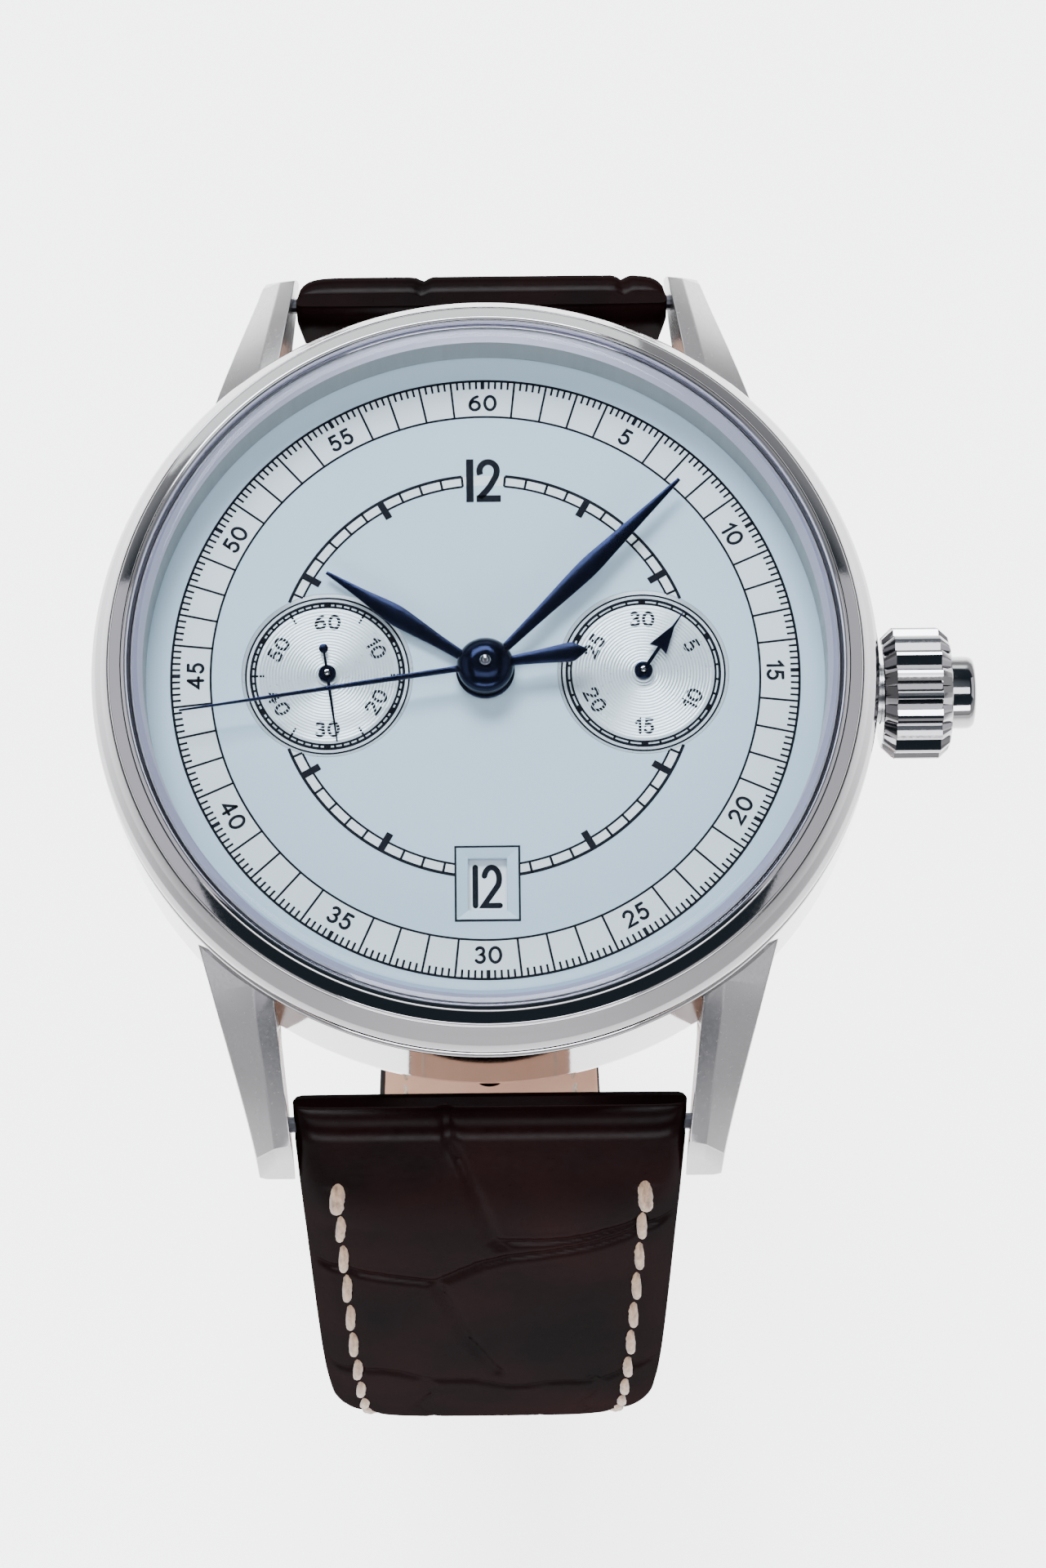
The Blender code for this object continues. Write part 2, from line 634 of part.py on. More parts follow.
def build_escapement(at):
    phase = mesh_phase(0, FOURTH_TEETH, ESCAPE_PINION, ESCAPE_TURN)
    post = arbor(0.15, TRAIN_FOOT, 7.6)
    gears = [(ESCAPE_PINION, pitch(FOURTH_ESCAPE, ESCAPE_PINION, FOURTH_TEETH), phase, 5.8, 6.2)]
    escape = wheel("escape_wheel", at["escape"], post, gears)
    saw = teeth_outline(20, 2.0, 0, tip=0, root=0.4)
    place = (*at["escape"], 0)
    join(escape, flat("escape_teeth", [saw], 7.0, 7.15, place))

    reach = PALLET_BALANCE - 0.95
    fork = [
        (0.2, 0.3), (1.35, 0.4), (1.35, 0.8), (1.6, 0.8), (1.75, 0.2), (0.2, -0.2), (0.12, -reach + 0.3),
        (0.3, -reach), (0.12, -reach + 0.05),
    ]
    outline = fork + [(-x, y) for x, y in reversed(fork)]
    place = (*at["pallet"], 0)
    pallet = flat("pallet_fork", [rotated(outline, PALLET_TURN + pi / 2)], 6.98, 7.18, place)
    join(pallet, turned("pallet_arbor", arbor(0.15, 6.4, 7.62), place, SMALL_ROUND))
    finish(pallet, STEEL)

    place = (*at["balance"], 0)
    rim = [circle(3.3, ROUND)]
    for i in range(3):
        first, last = 2 * pi * i / 3 + 0.2, 2 * pi * (i + 1) / 3 - 0.2
        rim.append(arc(2.75, first, last, 8) + arc(0.8, last - 0.25, first + 0.25, 3))
    balance = flat("balance_wheel", rim, 5.85, 6.1, place)
    staff = [
        (0, 7.6), (0.12, 7.6), (0.12, 6.8), (0.6, 6.8), (0.6, 6.6), (0.3, 6.6), (0.3, TRAIN_FOOT),
        (0, TRAIN_FOOT),
    ]
    join(balance, turned("balance_staff", staff, place, SMALL_ROUND))
    finish(balance, BRASS)
    turns, steps = 4, 10
    spiral = []
    for i in range(turns * steps + 1):
        radius = 0.5 + 0.33 * i / steps
        angle = 2 * pi * i / steps
        spiral.append((radius * cos(angle), radius * sin(angle), 5.68))
    finish(wire("hairspring", spiral, 0.05, place), BLUED)


def build_motion_work():
    at = (0, -MOTION_DISTANCE)
    towards = -pi / 2
    cannon = [
        (0.85, 11.04), (0.85, 9.1), (0.78, 9.1), (0.78, 8.9), (0.6, 8.9), (0.6, 11.04),
    ]
    made = turned("cannon_pinion", cannon, segments=BOSS_ROUND)
    radius = pitch(MOTION_DISTANCE, CANNON_TEETH, MINUTE_TEETH)
    outlines = [teeth_outline(CANNON_TEETH, radius, 0), circle(0.68, SMALL_ROUND)]
    join(made, flat("cannon_teeth", outlines, 8.82, 9.05))
    finish(made, STEEL)

    gears = [
        (MINUTE_TEETH, pitch(MOTION_DISTANCE, MINUTE_TEETH, CANNON_TEETH),
         mesh_phase(0, CANNON_TEETH, MINUTE_TEETH, towards), 8.85, 9.03),
        (MINUTE_PINION, pitch(MOTION_DISTANCE, MINUTE_PINION, HOUR_TEETH), 0, 9.0, 9.4),
    ]
    wheel("minute_wheel", at, arbor(0.3, 8.78, 9.5), gears)
    phase = mesh_phase(0, MINUTE_PINION, HOUR_TEETH, pi / 2)
    hour = ring("hour_wheel", 1.2, 0.92, 9.12, 10.5, segments=BOSS_ROUND)
    radius = pitch(MOTION_DISTANCE, HOUR_TEETH, MINUTE_PINION)
    outlines = [teeth_outline(HOUR_TEETH, radius, phase), circle(1.0, BOSS_ROUND)]
    join(hour, flat("hour_teeth", outlines, 9.14, 9.32))
    finish(hour, BRASS)


def build_chronograph_works():
    post = [
        (0, 12.25), (0.27, 12.25), (0.27, CHRONO_WORKS_Z), (0, CHRONO_WORKS_Z),
    ]
    wheel("chronograph_wheel", (0, 0), post, [(40, 4.0, 0, 4.1, 4.3)])
    wheel("minute_counter_wheel", (SUBDIAL_X, 0), subdial_post(CHRONO_WORKS_Z), [(30, 3.0, 0, 4.1, 4.3)])
    columns = wheel("column_wheel", COLUMNS_AT, arbor(0.4, CHRONO_WORKS_Z, 4.8), [(12, 1.6, 0, 4.08, 4.3)])
    saw = teeth_outline(6, 1.3, 0, tip=0, root=0.7)
    join(columns, flat("columns", [saw], 4.25, LEVER_TOP, (*COLUMNS_AT, 0)))
    finish(columns, STEEL)

    tab = (ROD_END - ROD_R, 0.3)
    path = [tab, (9.95, -1.6), LEVER_PIVOT, (10.5, -6.4)]
    local = [(x - LEVER_PIVOT[0], y - LEVER_PIVOT[1]) for x, y in path]
    place = (*LEVER_PIVOT, 0)
    lever = flat("operating_lever", [strip(local, 0.35)], 4.55, LEVER_TOP, place)
    tab_x, tab_y = tab[0] - LEVER_PIVOT[0], -LEVER_PIVOT[1]
    join(lever, block("lever_tab", (tab_x - 0.1, tab_y - 0.4, 4.6), (tab_x + 0.1, tab_y + 0.3, 6.3), place))
    finish(lever, STEEL)


def screw_places():
    return ((-10.4, 8.2), (9.6, 9.6), (-12.6, -3.4), (3.4, -12.6))


def build_plates(at):
    low, high = BRIDGE_Z
    plate = disc("main_plate", MOVEMENT_R, *PLATE_Z, segments=ROUND)
    join(plate, ring("plate_rim", MOVEMENT_R, 14.0, TRAIN_Z + 0.02, PLATE_Z[0] + 0.2))
    cut(plate, block("rim_slot", (12.5, -1.8, 4), (16, 1.8, 7.6)))
    cut(plate, disc("centre_hole", 0.98, 7, 9.5, segments=16))
    for side in (-1, 1):
        cut(plate, disc(f"arbor_hole_{side}", 0.32, 7, 9.5, (side * SUBDIAL_X, 0, 0), 12))
    finish(plate, RHODIUM)

    outer = [p for p in circle(BRIDGE_R, ROUND) if p[1] > 1.0]
    barrel_bridge = flat("barrel_bridge", [outer], low, high)
    outer = [p for p in circle(BRIDGE_R, ROUND) if p[1] < 0.75]
    train_bridge = flat("train_bridge", [outer], low, high)
    cut(train_bridge, disc("centre_pass", 0.6, 4, 6, segments=16))
    cut(train_bridge, block("stem_slot", (7.4, -1.8, 4), (16, 3, 6)))
    balance = at["balance"]
    cut(train_bridge, disc("balance_window", 3.6, 4, 6, (*balance, 0), 32))
    turn = atan2(balance[1], balance[0])
    cut(train_bridge, flat("cock_slot", [strip([balance, polar(16, turn)], 1.9)], 4, 6))
    finish(train_bridge, RHODIUM)
    reach = 14.5 - hypot(*balance)
    head = arc(1.3, radians(140), radians(400), 14)
    foot = [(1.0, 1.7), (1.7, 2.6), (1.7, reach)]
    cock = head + foot + [(-x, y) for x, y in reversed(foot)]
    finish(flat("balance_cock", [rotated(cock, turn - pi / 2)], low, high, (*balance, 0)), RHODIUM)

    head = low - 0.02
    screw = [
        (0, high - GAP), (0.3, high - GAP), (0.3, head), (0.7, head), (0.7, head - 0.23), (0, head - 0.23),
    ]
    for i, place in enumerate(screw_places()):
        bridge = barrel_bridge if place[1] > 0 else train_bridge
        cut(bridge, disc(f"screw_hole_{i}", 0.35, 4, 6, (*place, 0), SMALL_ROUND))
        finish(turned(f"bridge_screw_{i + 1}", screw, (*place, 0), SMALL_ROUND), BLUED)
    finish(barrel_bridge, RHODIUM)

    spacer = ring("movement_ring", SEAT_R, MOVEMENT_R + 0.1, 4.0, 9.5)
    cut(spacer, block("spacer_slot", (13, -1.8, 3), (19, 1.8, 8.2)))
    finish(spacer, BRUSHED)


def build_winding():
    low, high = AUTO_Z
    narrow, wide, reach = 1.4, 2.2, 12.4
    side = [(narrow, -reach), (wide, -3), (wide, 3), (narrow, reach)]
    bar = side + [(-x, y) for x, y in reversed(side)]
    bridge = flat("automatic_bridge", [bar], low, high)
    for end in (-1, 1):
        post = disc(f"bridge_post_{end}", 0.9, low + 0.1, BRIDGE_Z[0] - 0.02, (0, end * 11.4, 0), 16)
        join(bridge, post)
    finish(bridge, RHODIUM)
    bearing = [(0, low - 0.02), (1.3, low - 0.02), (1.6, 3.3), (1.6, 2.7), (1.3, 2.45), (0, 2.45)]
    finish(turned("rotor_bearing", bearing, segments=BOSS_ROUND), STEEL)
    web = arc(14.3, -pi, 0, 16) + arc(2.6, -0.15, 0.0, 2) + arc(2.6, 0.0, pi, 10)[1:]
    rotor = flat("rotor", [web, circle(1.66, BOSS_ROUND)], 2.95, ROTOR_Z[1])
    weight = arc(WEIGHT_R[1], -pi + 0.01, -0.01, 16) + arc(WEIGHT_R[0], -0.01, -pi + 0.01, 12)
    join(rotor, flat("rotor_weight", [weight], *ROTOR_Z))
    finish(rotor, RHODIUM)


# Strap and buckle ------------------------------------------------------------------------------------------


def smooth_line(points, per_span=3):
    """Points on a smooth curve through the given ones, with about the same spacing in each span."""
    ends = [tuple(2 * a - b for a, b in zip(points[0], points[1]))]
    tail = [tuple(2 * a - b for a, b in zip(points[-1], points[-2]))]
    full = ends + list(points) + tail
    line = []
    for i in range(1, len(full) - 2):
        p0, p1, p2, p3 = (Vector(p) for p in full[i - 1:i + 3])
        for k in range(per_span):
            t = k / per_span
            line.append(
                0.5 * (2 * p1 + (p2 - p0) * t + (2 * p0 - 5 * p1 + 4 * p2 - p3) * t**2
                       + (3 * p1 - p0 - 3 * p2 + p3) * t**3)
            )
    return line + [Vector(points[-1])]


def strap_width(run):
    return STRAP_END_WIDTH + (STRAP_WIDTH - STRAP_END_WIDTH) * max(0, 1 - run / TAPER_LENGTH)


def strap_thickness(run, length):
    """Thin at the rolled end, padded just after it, then thinner towards the far end."""
    pad = 2 * ROLL_R * 0.9 + (STRAP_THICK - 2 * ROLL_R * 0.9) * min(1, run / 7)
    return pad + (STRAP_END_THICK - STRAP_THICK) * max(0, run - 7) / (length - 7)


def strap_section(middle, normal, width, thick, end):
    """Ten points round the strap: a flat lining and a crowned outer side."""
    half = width / 2
    outline = (
        (-half + 0.35, -0.5), (half - 0.35, -0.5), (half, -0.35), (half, 0.05), (half - 1.3, 0.36),
        (half - 4.2, 0.5), (-half + 4.2, 0.5), (-half + 1.3, 0.36), (-half, 0.05), (-half, -0.35),
    )
    ring_points = []
    for across, rise in outline:
        at = middle + normal * (rise * thick)
        ring_points.append((across, end * at.x, at.y))
    return ring_points


def strap(name, points, end, tip_length=0.0):
    """A strap piece along its centre line, from its spring bar, in the (out, height) plane."""
    line = smooth_line(points, 2)
    if tip_length:
        line[-1:] = [line[-2].lerp(line[-1], share) for share in (0.35, 0.6, 0.8, 0.93, 1)]
    runs = [0.0]
    for near, far in zip(line, line[1:]):
        runs.append(runs[-1] + (far - near).length)
    length = runs[-1]
    rings = []
    for i, (middle, run) in enumerate(zip(line, runs)):
        ahead = (line[min(i + 1, len(line) - 1)] - line[max(i - 1, 0)]).normalized()
        normal = Vector((-ahead.y, ahead.x))
        left = length - run
        width = strap_width(run)
        if tip_length and left < tip_length:
            width *= max(0.35, (1 - (1 - left / tip_length) ** 2) ** 0.5)
        centre = middle - Vector((BAR_Y, BAR_Z))
        rings.append(strap_section(centre, normal, width, strap_thickness(run, length), end))
    return loft(name, rings, (0, end * BAR_Y, BAR_Z)), line, runs


def build_straps():
    for name, points, end, tip in (("strap_12", STRAP_12_LINE, 1, 0), ("strap_6", STRAP_6_LINE, -1, 7.0)):
        piece, line, runs = strap(name, points, end, tip)
        place = (0, end * BAR_Y, BAR_Z)
        half = STRAP_WIDTH / 2 - 0.05
        join(piece, disc(f"{name}_roll", ROLL_R, -half, half, place, BOSS_ROUND, "X"))
        if name == "strap_12":
            far = (0, BUCKLE_END[0], BUCKLE_END[1])
            join(piece, disc("buckle_roll", ROLL_R + 0.15, -7.9, 7.9, far, BOSS_ROUND, "X"))
            cut(piece, disc("buckle_bar_bore", 0.62, -9, 9, far, SMALL_ROUND, "X"))
            slot = block("tongue_slot", (-1.4, -2.4, -3), (1.4, 4, 3))
            slot.matrix_world = buckle_frame_matrix()
            cut(piece, slot)
        else:
            for i in range(HOLE_COUNT):
                cut(piece, strap_hole(i, line, runs, end))
        cut(piece, disc(f"{name}_bore", BAR_R + GAP, -11, 11, place, SMALL_ROUND, "X"))
        finish(piece, LEATHER)


def strap_hole(index, line, runs, end):
    target = FIRST_HOLE + HOLE_PITCH * index
    i = next(k for k, run in enumerate(runs) if run >= target)
    share = (target - runs[i - 1]) / (runs[i] - runs[i - 1])
    middle = line[i - 1].lerp(line[i], share)
    ahead = (line[i] - line[i - 1]).normalized()
    made = disc(f"strap_hole_{index}", 0.9, -4, 4, (0, end * middle.x, middle.y), 8)
    normal = Vector((0, end * -ahead.y, ahead.x))
    made.rotation_euler = Vector((0, 0, 1)).rotation_difference(normal).to_euler()
    return made


def buckle_frame_matrix(run=0.0):
    """Local X across the strap, Y along it towards its end and Z outwards, from the buckle's bar."""
    along = Vector((0, cos(BUCKLE_LEAN), sin(BUCKLE_LEAN)))
    outward = Vector((1, 0, 0)).cross(along)
    place = Vector((0, BUCKLE_END[0], BUCKLE_END[1])) + along * run
    basis = Matrix((Vector((1, 0, 0)), along, outward)).transposed().to_4x4()
    return Matrix.Translation(place * MM) @ basis


def build_buckle():
    corner = [(9.8, 8.2), (9.2, 10.2), (7.3, 11.2)]
    inner = [(8.2, 8.0), (7.9, 8.9), (7.0, 9.4)]
    right = [(8.2, -1.3), (9.8, -1.3)] + corner
    outline = right + [(-x, y) for x, y in reversed(right)] + [(-x, y) for x, y in inner] + inner[::-1]
    frame = flat("buckle_frame", [outline], -0.95, 0.95)
    frame.matrix_world = buckle_frame_matrix()
    far = (0, BUCKLE_END[0], BUCKLE_END[1])
    cut(frame, disc("ear_holes", PIVOT_R + GAP, -9.4, 9.4, far, SMALL_ROUND, "X"))
    finish(frame, STEEL)
    bar = [(0, 9.3), (PIVOT_R, 9.3), (PIVOT_R, 8.1), (0.56, 8.05), (0.56, -8.05), (PIVOT_R, -8.1),
           (PIVOT_R, -9.3), (0, -9.3)]
    finish(turned("buckle_bar", bar, far, SMALL_ROUND, "X"), STEEL)

    eye = arc(1.25, radians(30), radians(330), 12)
    arm = [(8.8, 1.02), (12.2, 1.02), (12.2, 1.5), (9.0, 1.95)]
    profile = eye + arm
    tongue = flat("buckle_tongue", [profile, circle(0.62, SMALL_ROUND)], -1.0, 1.0)
    base = buckle_frame_matrix()
    sideways = Matrix(((0, 0, 1, 0), (1, 0, 0, 0), (0, 1, 0, 0), (0, 0, 0, 1)))
    tongue.matrix_world = base @ sideways
    finish(tongue, STEEL)

    for name, run in (("keeper_fixed", -9.0), ("keeper_free", -18.0)):
        thick = STRAP_END_THICK + 0.5
        low, high = -thick / 2 - KEEPER_SLACK, thick / 2 + STRAP_END_THICK + KEEPER_SLACK
        half, wall = STRAP_END_WIDTH / 2 + 0.6, 1.1
        outside = [(-half - wall, low - wall), (half + wall, low - wall), (half + wall, high + wall),
                   (-half - wall, high + wall)]
        inside = [(-half, low), (half, low), (half, high), (-half, high)]
        keeper = flat(name, [outside, inside], -2.5, 2.5)
        upright = Matrix(((1, 0, 0, 0), (0, 0, -1, 0), (0, 1, 0, 0), (0, 0, 0, 1)))
        keeper.matrix_world = buckle_frame_matrix(run) @ upright
        finish(keeper, LEATHER)


def main():
    places = train_places()
    build_case()
    build_spring_bars()
    build_crown()
    build_dial()
    build_hands()
    build_going_train(places)
    build_escapement(places)
    build_motion_work()
    build_chronograph_works()
    build_plates(places)
    build_winding()
    build_straps()
    build_buckle()


main()
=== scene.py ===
import json
from math import atan2, ceil, cos, exp, hypot, pi, radians, sin

import bmesh
import bpy
from mathutils import Matrix, Vector, noise


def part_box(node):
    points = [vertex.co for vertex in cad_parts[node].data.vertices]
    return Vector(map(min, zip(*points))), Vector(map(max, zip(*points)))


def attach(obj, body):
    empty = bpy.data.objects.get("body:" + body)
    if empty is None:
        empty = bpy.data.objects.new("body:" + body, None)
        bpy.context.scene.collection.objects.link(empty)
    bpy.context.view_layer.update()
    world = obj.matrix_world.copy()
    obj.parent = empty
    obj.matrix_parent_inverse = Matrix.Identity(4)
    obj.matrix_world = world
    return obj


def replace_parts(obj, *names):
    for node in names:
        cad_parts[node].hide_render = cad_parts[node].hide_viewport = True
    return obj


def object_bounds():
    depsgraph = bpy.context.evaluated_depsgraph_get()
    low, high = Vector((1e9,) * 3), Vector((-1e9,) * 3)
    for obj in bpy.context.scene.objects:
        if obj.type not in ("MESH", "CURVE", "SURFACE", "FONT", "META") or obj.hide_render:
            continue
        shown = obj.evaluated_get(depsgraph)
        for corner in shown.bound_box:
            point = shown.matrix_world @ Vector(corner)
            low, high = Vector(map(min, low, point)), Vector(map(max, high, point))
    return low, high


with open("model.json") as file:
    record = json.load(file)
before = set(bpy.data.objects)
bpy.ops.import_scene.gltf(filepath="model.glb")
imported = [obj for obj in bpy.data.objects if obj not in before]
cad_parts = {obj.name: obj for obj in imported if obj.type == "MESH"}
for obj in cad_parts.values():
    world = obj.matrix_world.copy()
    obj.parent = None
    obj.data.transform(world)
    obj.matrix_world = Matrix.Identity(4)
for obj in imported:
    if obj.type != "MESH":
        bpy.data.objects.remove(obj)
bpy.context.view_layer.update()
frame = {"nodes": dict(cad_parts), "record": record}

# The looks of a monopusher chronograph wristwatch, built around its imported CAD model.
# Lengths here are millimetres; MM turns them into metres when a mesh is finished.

MM = 0.001
FINE_ROUND = 256
ROUND = 192
LIFT = 0.012

# Dial, from the frame
DIAL_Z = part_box("dial")[1].z / MM
SUBDIAL_X = sum(corner.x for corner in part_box("minute_counter_subdial")) / MM / 2
SUBDIAL_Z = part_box("small_seconds_subdial")[1].z / MM
DATE_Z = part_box("date_disc")[1].z / MM
DATE_Y = -11.08
DATE_SIZE = (1.95, 2.68)
FRAME_SIZE = (3.21, 3.82)
RECESS_R = 4.37
TRACK_R = (14.0, 16.0)
HOUR_RING_R = (10.19, 10.74)

# Hands: clockwise angles at rest, and their thickness
HOUR_AT, MINUTE_AT, CHRONO_AT, SMALL_AT, COUNTER_AT = 303.5, 45.0, 261.7, 172.0, 34.0
HAND_T = 0.14

# Case, crown and movement
STEM_Z = 5.9
MOVEMENT_R = 14.85
LUG_ROOT, LUG_WIDTH_AT, LUG_CUT, LUG_TIP = 13.0, 14.4, 23.5, 23.95
BALANCE_AT = (-5.726, -8.846)
BARREL_AT = (2.035, 5.591)
BAR_Y, BAR_Z = 22.3, 5.4

# Strap and buckle, as in the CAD model: (distance out, height) of each piece's centre line
STRAP_6_LINE = (
    (BAR_Y, BAR_Z), (24.4, 2.2), (26.2, -2.6), (28.5, -8.6), (30.4, -14.5), (31.2, -20), (30.8, -26),
    (29.2, -34.5), (26.2, -44.5), (22.1, -54.5), (16.6, -65), (9.8, -75.5), (1.8, -85.5), (-8.4, -95.2),
)
BUCKLE_AT = (17.4, -68.7)
STRAP_12_LINE = (
    (BAR_Y, BAR_Z), (23.0, 2.0), (23.9, -2.0), (25.0, -8), (26.2, -16), (26.9, -26), (26.4, -38),
    (24.4, -50), (20.9, -59.35), BUCKLE_AT,
)
BUCKLE_LEAN = atan2(-9.35, -3.5)
STRAP_WIDTH, STRAP_END_WIDTH, TAPER_LENGTH = 19.6, 16.0, 64.0
STRAP_THICK, STRAP_END_THICK = 4.0, 2.6
ROLL_THICK = 3.0
STITCH_IN = 1.9
STITCH_PITCH = 3.0
SCALE_PITCH = 8.4
WRAP_LENGTH = 3.2
FIRST_STITCH, SECOND_STITCH = 3.7, 6.3
FIRST_HOLE, HOLE_PITCH, HOLE_COUNT = 62.0, 6.5, 7
TOP_COLUMNS, LINING_COLUMNS = 100, 20


# Materials ----


def set_inputs(node, values):
    for socket, value in values.items():
        node.inputs[socket.replace("_", " ")].default_value = value
    return node


def add(tree, kind, **values):
    """A new shader node, whose plain sockets are given by name."""
    return set_inputs(tree.nodes.new(f"ShaderNode{kind}"), values)


def own_place(tree):
    return add(tree, "TexCoord").outputs["Object"]


def noise_node(tree, scale, stretch=(1, 1, 1), detail=4.0):
    """Noise in the piece's own coordinates; the scale is in waves per metre."""
    place = own_place(tree)
    mapping = add(tree, "Mapping", Scale=stretch)
    made = add(tree, "TexNoise", Scale=scale, Detail=detail, Roughness=0.55)
    tree.links.new(place, mapping.inputs["Vector"])
    tree.links.new(mapping.outputs["Vector"], made.inputs["Vector"])
    return made.outputs["Fac"]


def ramp(tree, source, stops):
    made = add(tree, "ValToRGB")
    elements = made.color_ramp.elements
    for i, (at, colour) in enumerate(stops):
        element = elements[i] if i < 2 else elements.new(at)
        element.position = at
        element.color = (*colour, 1)
    tree.links.new(source, made.inputs["Fac"])
    return made.outputs["Color"]


def spread(tree, source, low, high):
    made = add(tree, "MapRange", From_Min=0.3, From_Max=0.7, To_Min=low, To_Max=high)
    tree.links.new(source, made.inputs["Value"])
    return made.outputs["Result"]


def bump(tree, shader, source, height, strength=1.0):
    made = add(tree, "Bump", Strength=strength, Distance=height * MM)
    tree.links.new(source, made.inputs["Height"])
    if shader.inputs["Normal"].links:
        tree.links.new(shader.inputs["Normal"].links[0].from_socket, made.inputs["Normal"])
    tree.links.new(made.outputs["Normal"], shader.inputs["Normal"])


def surface(name, metallic=0.0, **sockets):
    """A material with its Principled shader, whose plain sockets are given by name."""
    made = bpy.data.materials.new(name)
    made.use_nodes = True
    shader = made.node_tree.nodes["Principled BSDF"]
    set_inputs(shader, {"Metallic": metallic, **sockets})
    return made, made.node_tree, shader


def layered(tree, below, above):
    """Two shaders mixed into the material's output; its factor is set or linked by the caller."""
    mix = add(tree, "MixShader")
    tree.links.new(below.outputs["BSDF"], mix.inputs[1])
    tree.links.new(above.outputs["BSDF"], mix.inputs[2])
    tree.links.new(mix.outputs["Shader"], tree.nodes["Material Output"].inputs["Surface"])
    return mix


def shade(colour, factor):
    return tuple(min(1.0, c * factor) for c in colour)


def textured(name, colour, rough, metallic=0.0, scale=400, vary=0.06, grain=3000, height=0.002,
             stretch=(1, 1, 1), **sockets):
    """A surface with slow colour and gloss variation and a fine grain."""
    made, tree, shader = surface(name, metallic, **sockets)
    slow = noise_node(tree, scale, stretch)
    fine = noise_node(tree, grain, stretch, detail=6.0)
    stops = ((0.25, shade(colour, 1 - vary)), (0.75, shade(colour, 1 + vary)))
    tree.links.new(ramp(tree, slow, stops), shader.inputs["Base Color"])
    tree.links.new(spread(tree, fine, rough[0], rough[1]), shader.inputs["Roughness"])
    bump(tree, shader, fine, height)
    return made


def striped(name, colour, period, angle=0.0):
    """Rhodium-plated metal with straight Geneva stripes."""
    made, tree, shader = surface(name, 1.0)
    mapping = add(tree, "Mapping", Rotation=(0, 0, angle))
    wave = add(tree, "TexWave", Scale=pi / 10 / (period * MM), Distortion=0.0)
    wave.wave_profile = "SAW"
    tree.links.new(own_place(tree), mapping.inputs["Vector"])
    tree.links.new(mapping.outputs["Vector"], wave.inputs["Vector"])
    stops = ((0.0, shade(colour, 0.72)), (1.0, shade(colour, 1.1)))
    tree.links.new(ramp(tree, wave.outputs["Fac"], stops), shader.inputs["Base Color"])
    fine = noise_node(tree, 2500, (1, 8, 1))
    tree.links.new(spread(tree, fine, 0.2, 0.36), shader.inputs["Roughness"])
    bump(tree, shader, wave.outputs["Fac"], 0.03)
    return made


def clear_glass(name, tint, head_on):
    """Coated sapphire: it shows what is behind it and mirrors grazing rays, from either side."""
    made = bpy.data.materials.new(name)
    made.use_nodes = True
    tree = made.node_tree
    tree.nodes.remove(tree.nodes["Principled BSDF"])
    through = add(tree, "BsdfTransparent", Color=(*tint, 1))
    mirror = add(tree, "BsdfGlossy", Color=(0.9, 0.93, 1.0, 1))
    tree.links.new(spread(tree, noise_node(tree, 900), 0.01, 0.03), mirror.inputs["Roughness"])
    steep = add(tree, "Math")
    steep.operation = "POWER"
    steep.inputs[1].default_value = 5.0
    share = add(tree, "MapRange", To_Min=head_on, To_Max=0.8)
    tree.links.new(add(tree, "LayerWeight").outputs["Facing"], steep.inputs[0])
    tree.links.new(steep.outputs["Value"], share.inputs["Value"])
    mix = layered(tree, through, mirror)
    tree.links.new(share.outputs["Result"], mix.inputs["Fac"])
    return made


def leather(name, dark, light, rough, pores, height, gloss):
    """Dyed leather: a deep colour under a thin, even polish."""
    made, tree, shader = surface(name, 0.0, Specular_IOR_Level=0.0)
    slow = noise_node(tree, 140, detail=3.0)
    tree.links.new(ramp(tree, slow, ((0.3, dark), (0.75, light))), shader.inputs["Base Color"])
    cells = add(tree, "TexVoronoi", Scale=pores)
    tree.links.new(own_place(tree), cells.inputs["Vector"])
    fine = noise_node(tree, pores * 1.7, detail=5.0)
    bump(tree, shader, cells.outputs["Distance"], height, 0.5)
    bump(tree, shader, fine, height * 0.6, 0.5)
    polish = add(tree, "BsdfGlossy")
    tree.links.new(spread(tree, fine, *rough), polish.inputs["Roughness"])
    tree.links.new(shader.inputs["Normal"].links[0].from_socket, polish.inputs["Normal"])
    layered(tree, shader, polish).inputs["Fac"].default_value = gloss
    return made


def thread(name):
    made, tree, shader = surface(name, 0.0, Sheen_Weight=0.3, Roughness=0.75)
    strands = noise_node(tree, 5200, (1, 0.35, 0.35))
    stops = ((0.3, (0.15, 0.085, 0.05)), (0.7, (0.42, 0.275, 0.175)))
    tree.links.new(ramp(tree, strands, stops), shader.inputs["Base Color"])
    bump(tree, shader, strands, 0.05)
    return made


STEEL = textured("polished_steel", (0.34, 0.335, 0.345), (0.05, 0.09), 1.0, 120, 0.02, 6000, 0.0006)
LUG_STEEL = textured("lug_steel", (0.39, 0.38, 0.385), (0.2, 0.28), 0.85, 160, 0.02, 5000, 0.0006)
SATIN = textured("satin_steel", (0.36, 0.365, 0.38), (0.22, 0.34), 1.0, 300, 0.05, 2600, 0.004)
FLANGE = textured("brushed_flange", (0.32, 0.325, 0.315), (0.34, 0.5), 0.7, 300, 0.06, 2400, 0.008,
                  (1, 1, 0.02))
FLANGE_EDGE = textured("flange_edge", (0.46, 0.45, 0.53), (0.45, 0.55), 0.5, 300, 0.03, 2400, 0.001)
# Near-black steel for the spring bars: painted shade for the shadowed gap between each lug and the strap's
# roll.
SPRING_BAR_SHADE = textured("dark_steel", (0.06, 0.06, 0.07), (0.3, 0.45), 1.0, 300, 0.1, 3000, 0.003)
BLUED = textured("blued_steel", (0.003, 0.005, 0.018), (0.14, 0.22), 0.9, 500, 0.3, 4000, 0.0008)
ENAMEL = textured("dial_lacquer", (0.45, 0.595, 0.69), (0.32, 0.42), 0.0, 90, 0.015, 5000, 0.0006,
                  Coat_Weight=0.25, Coat_Roughness=0.12)
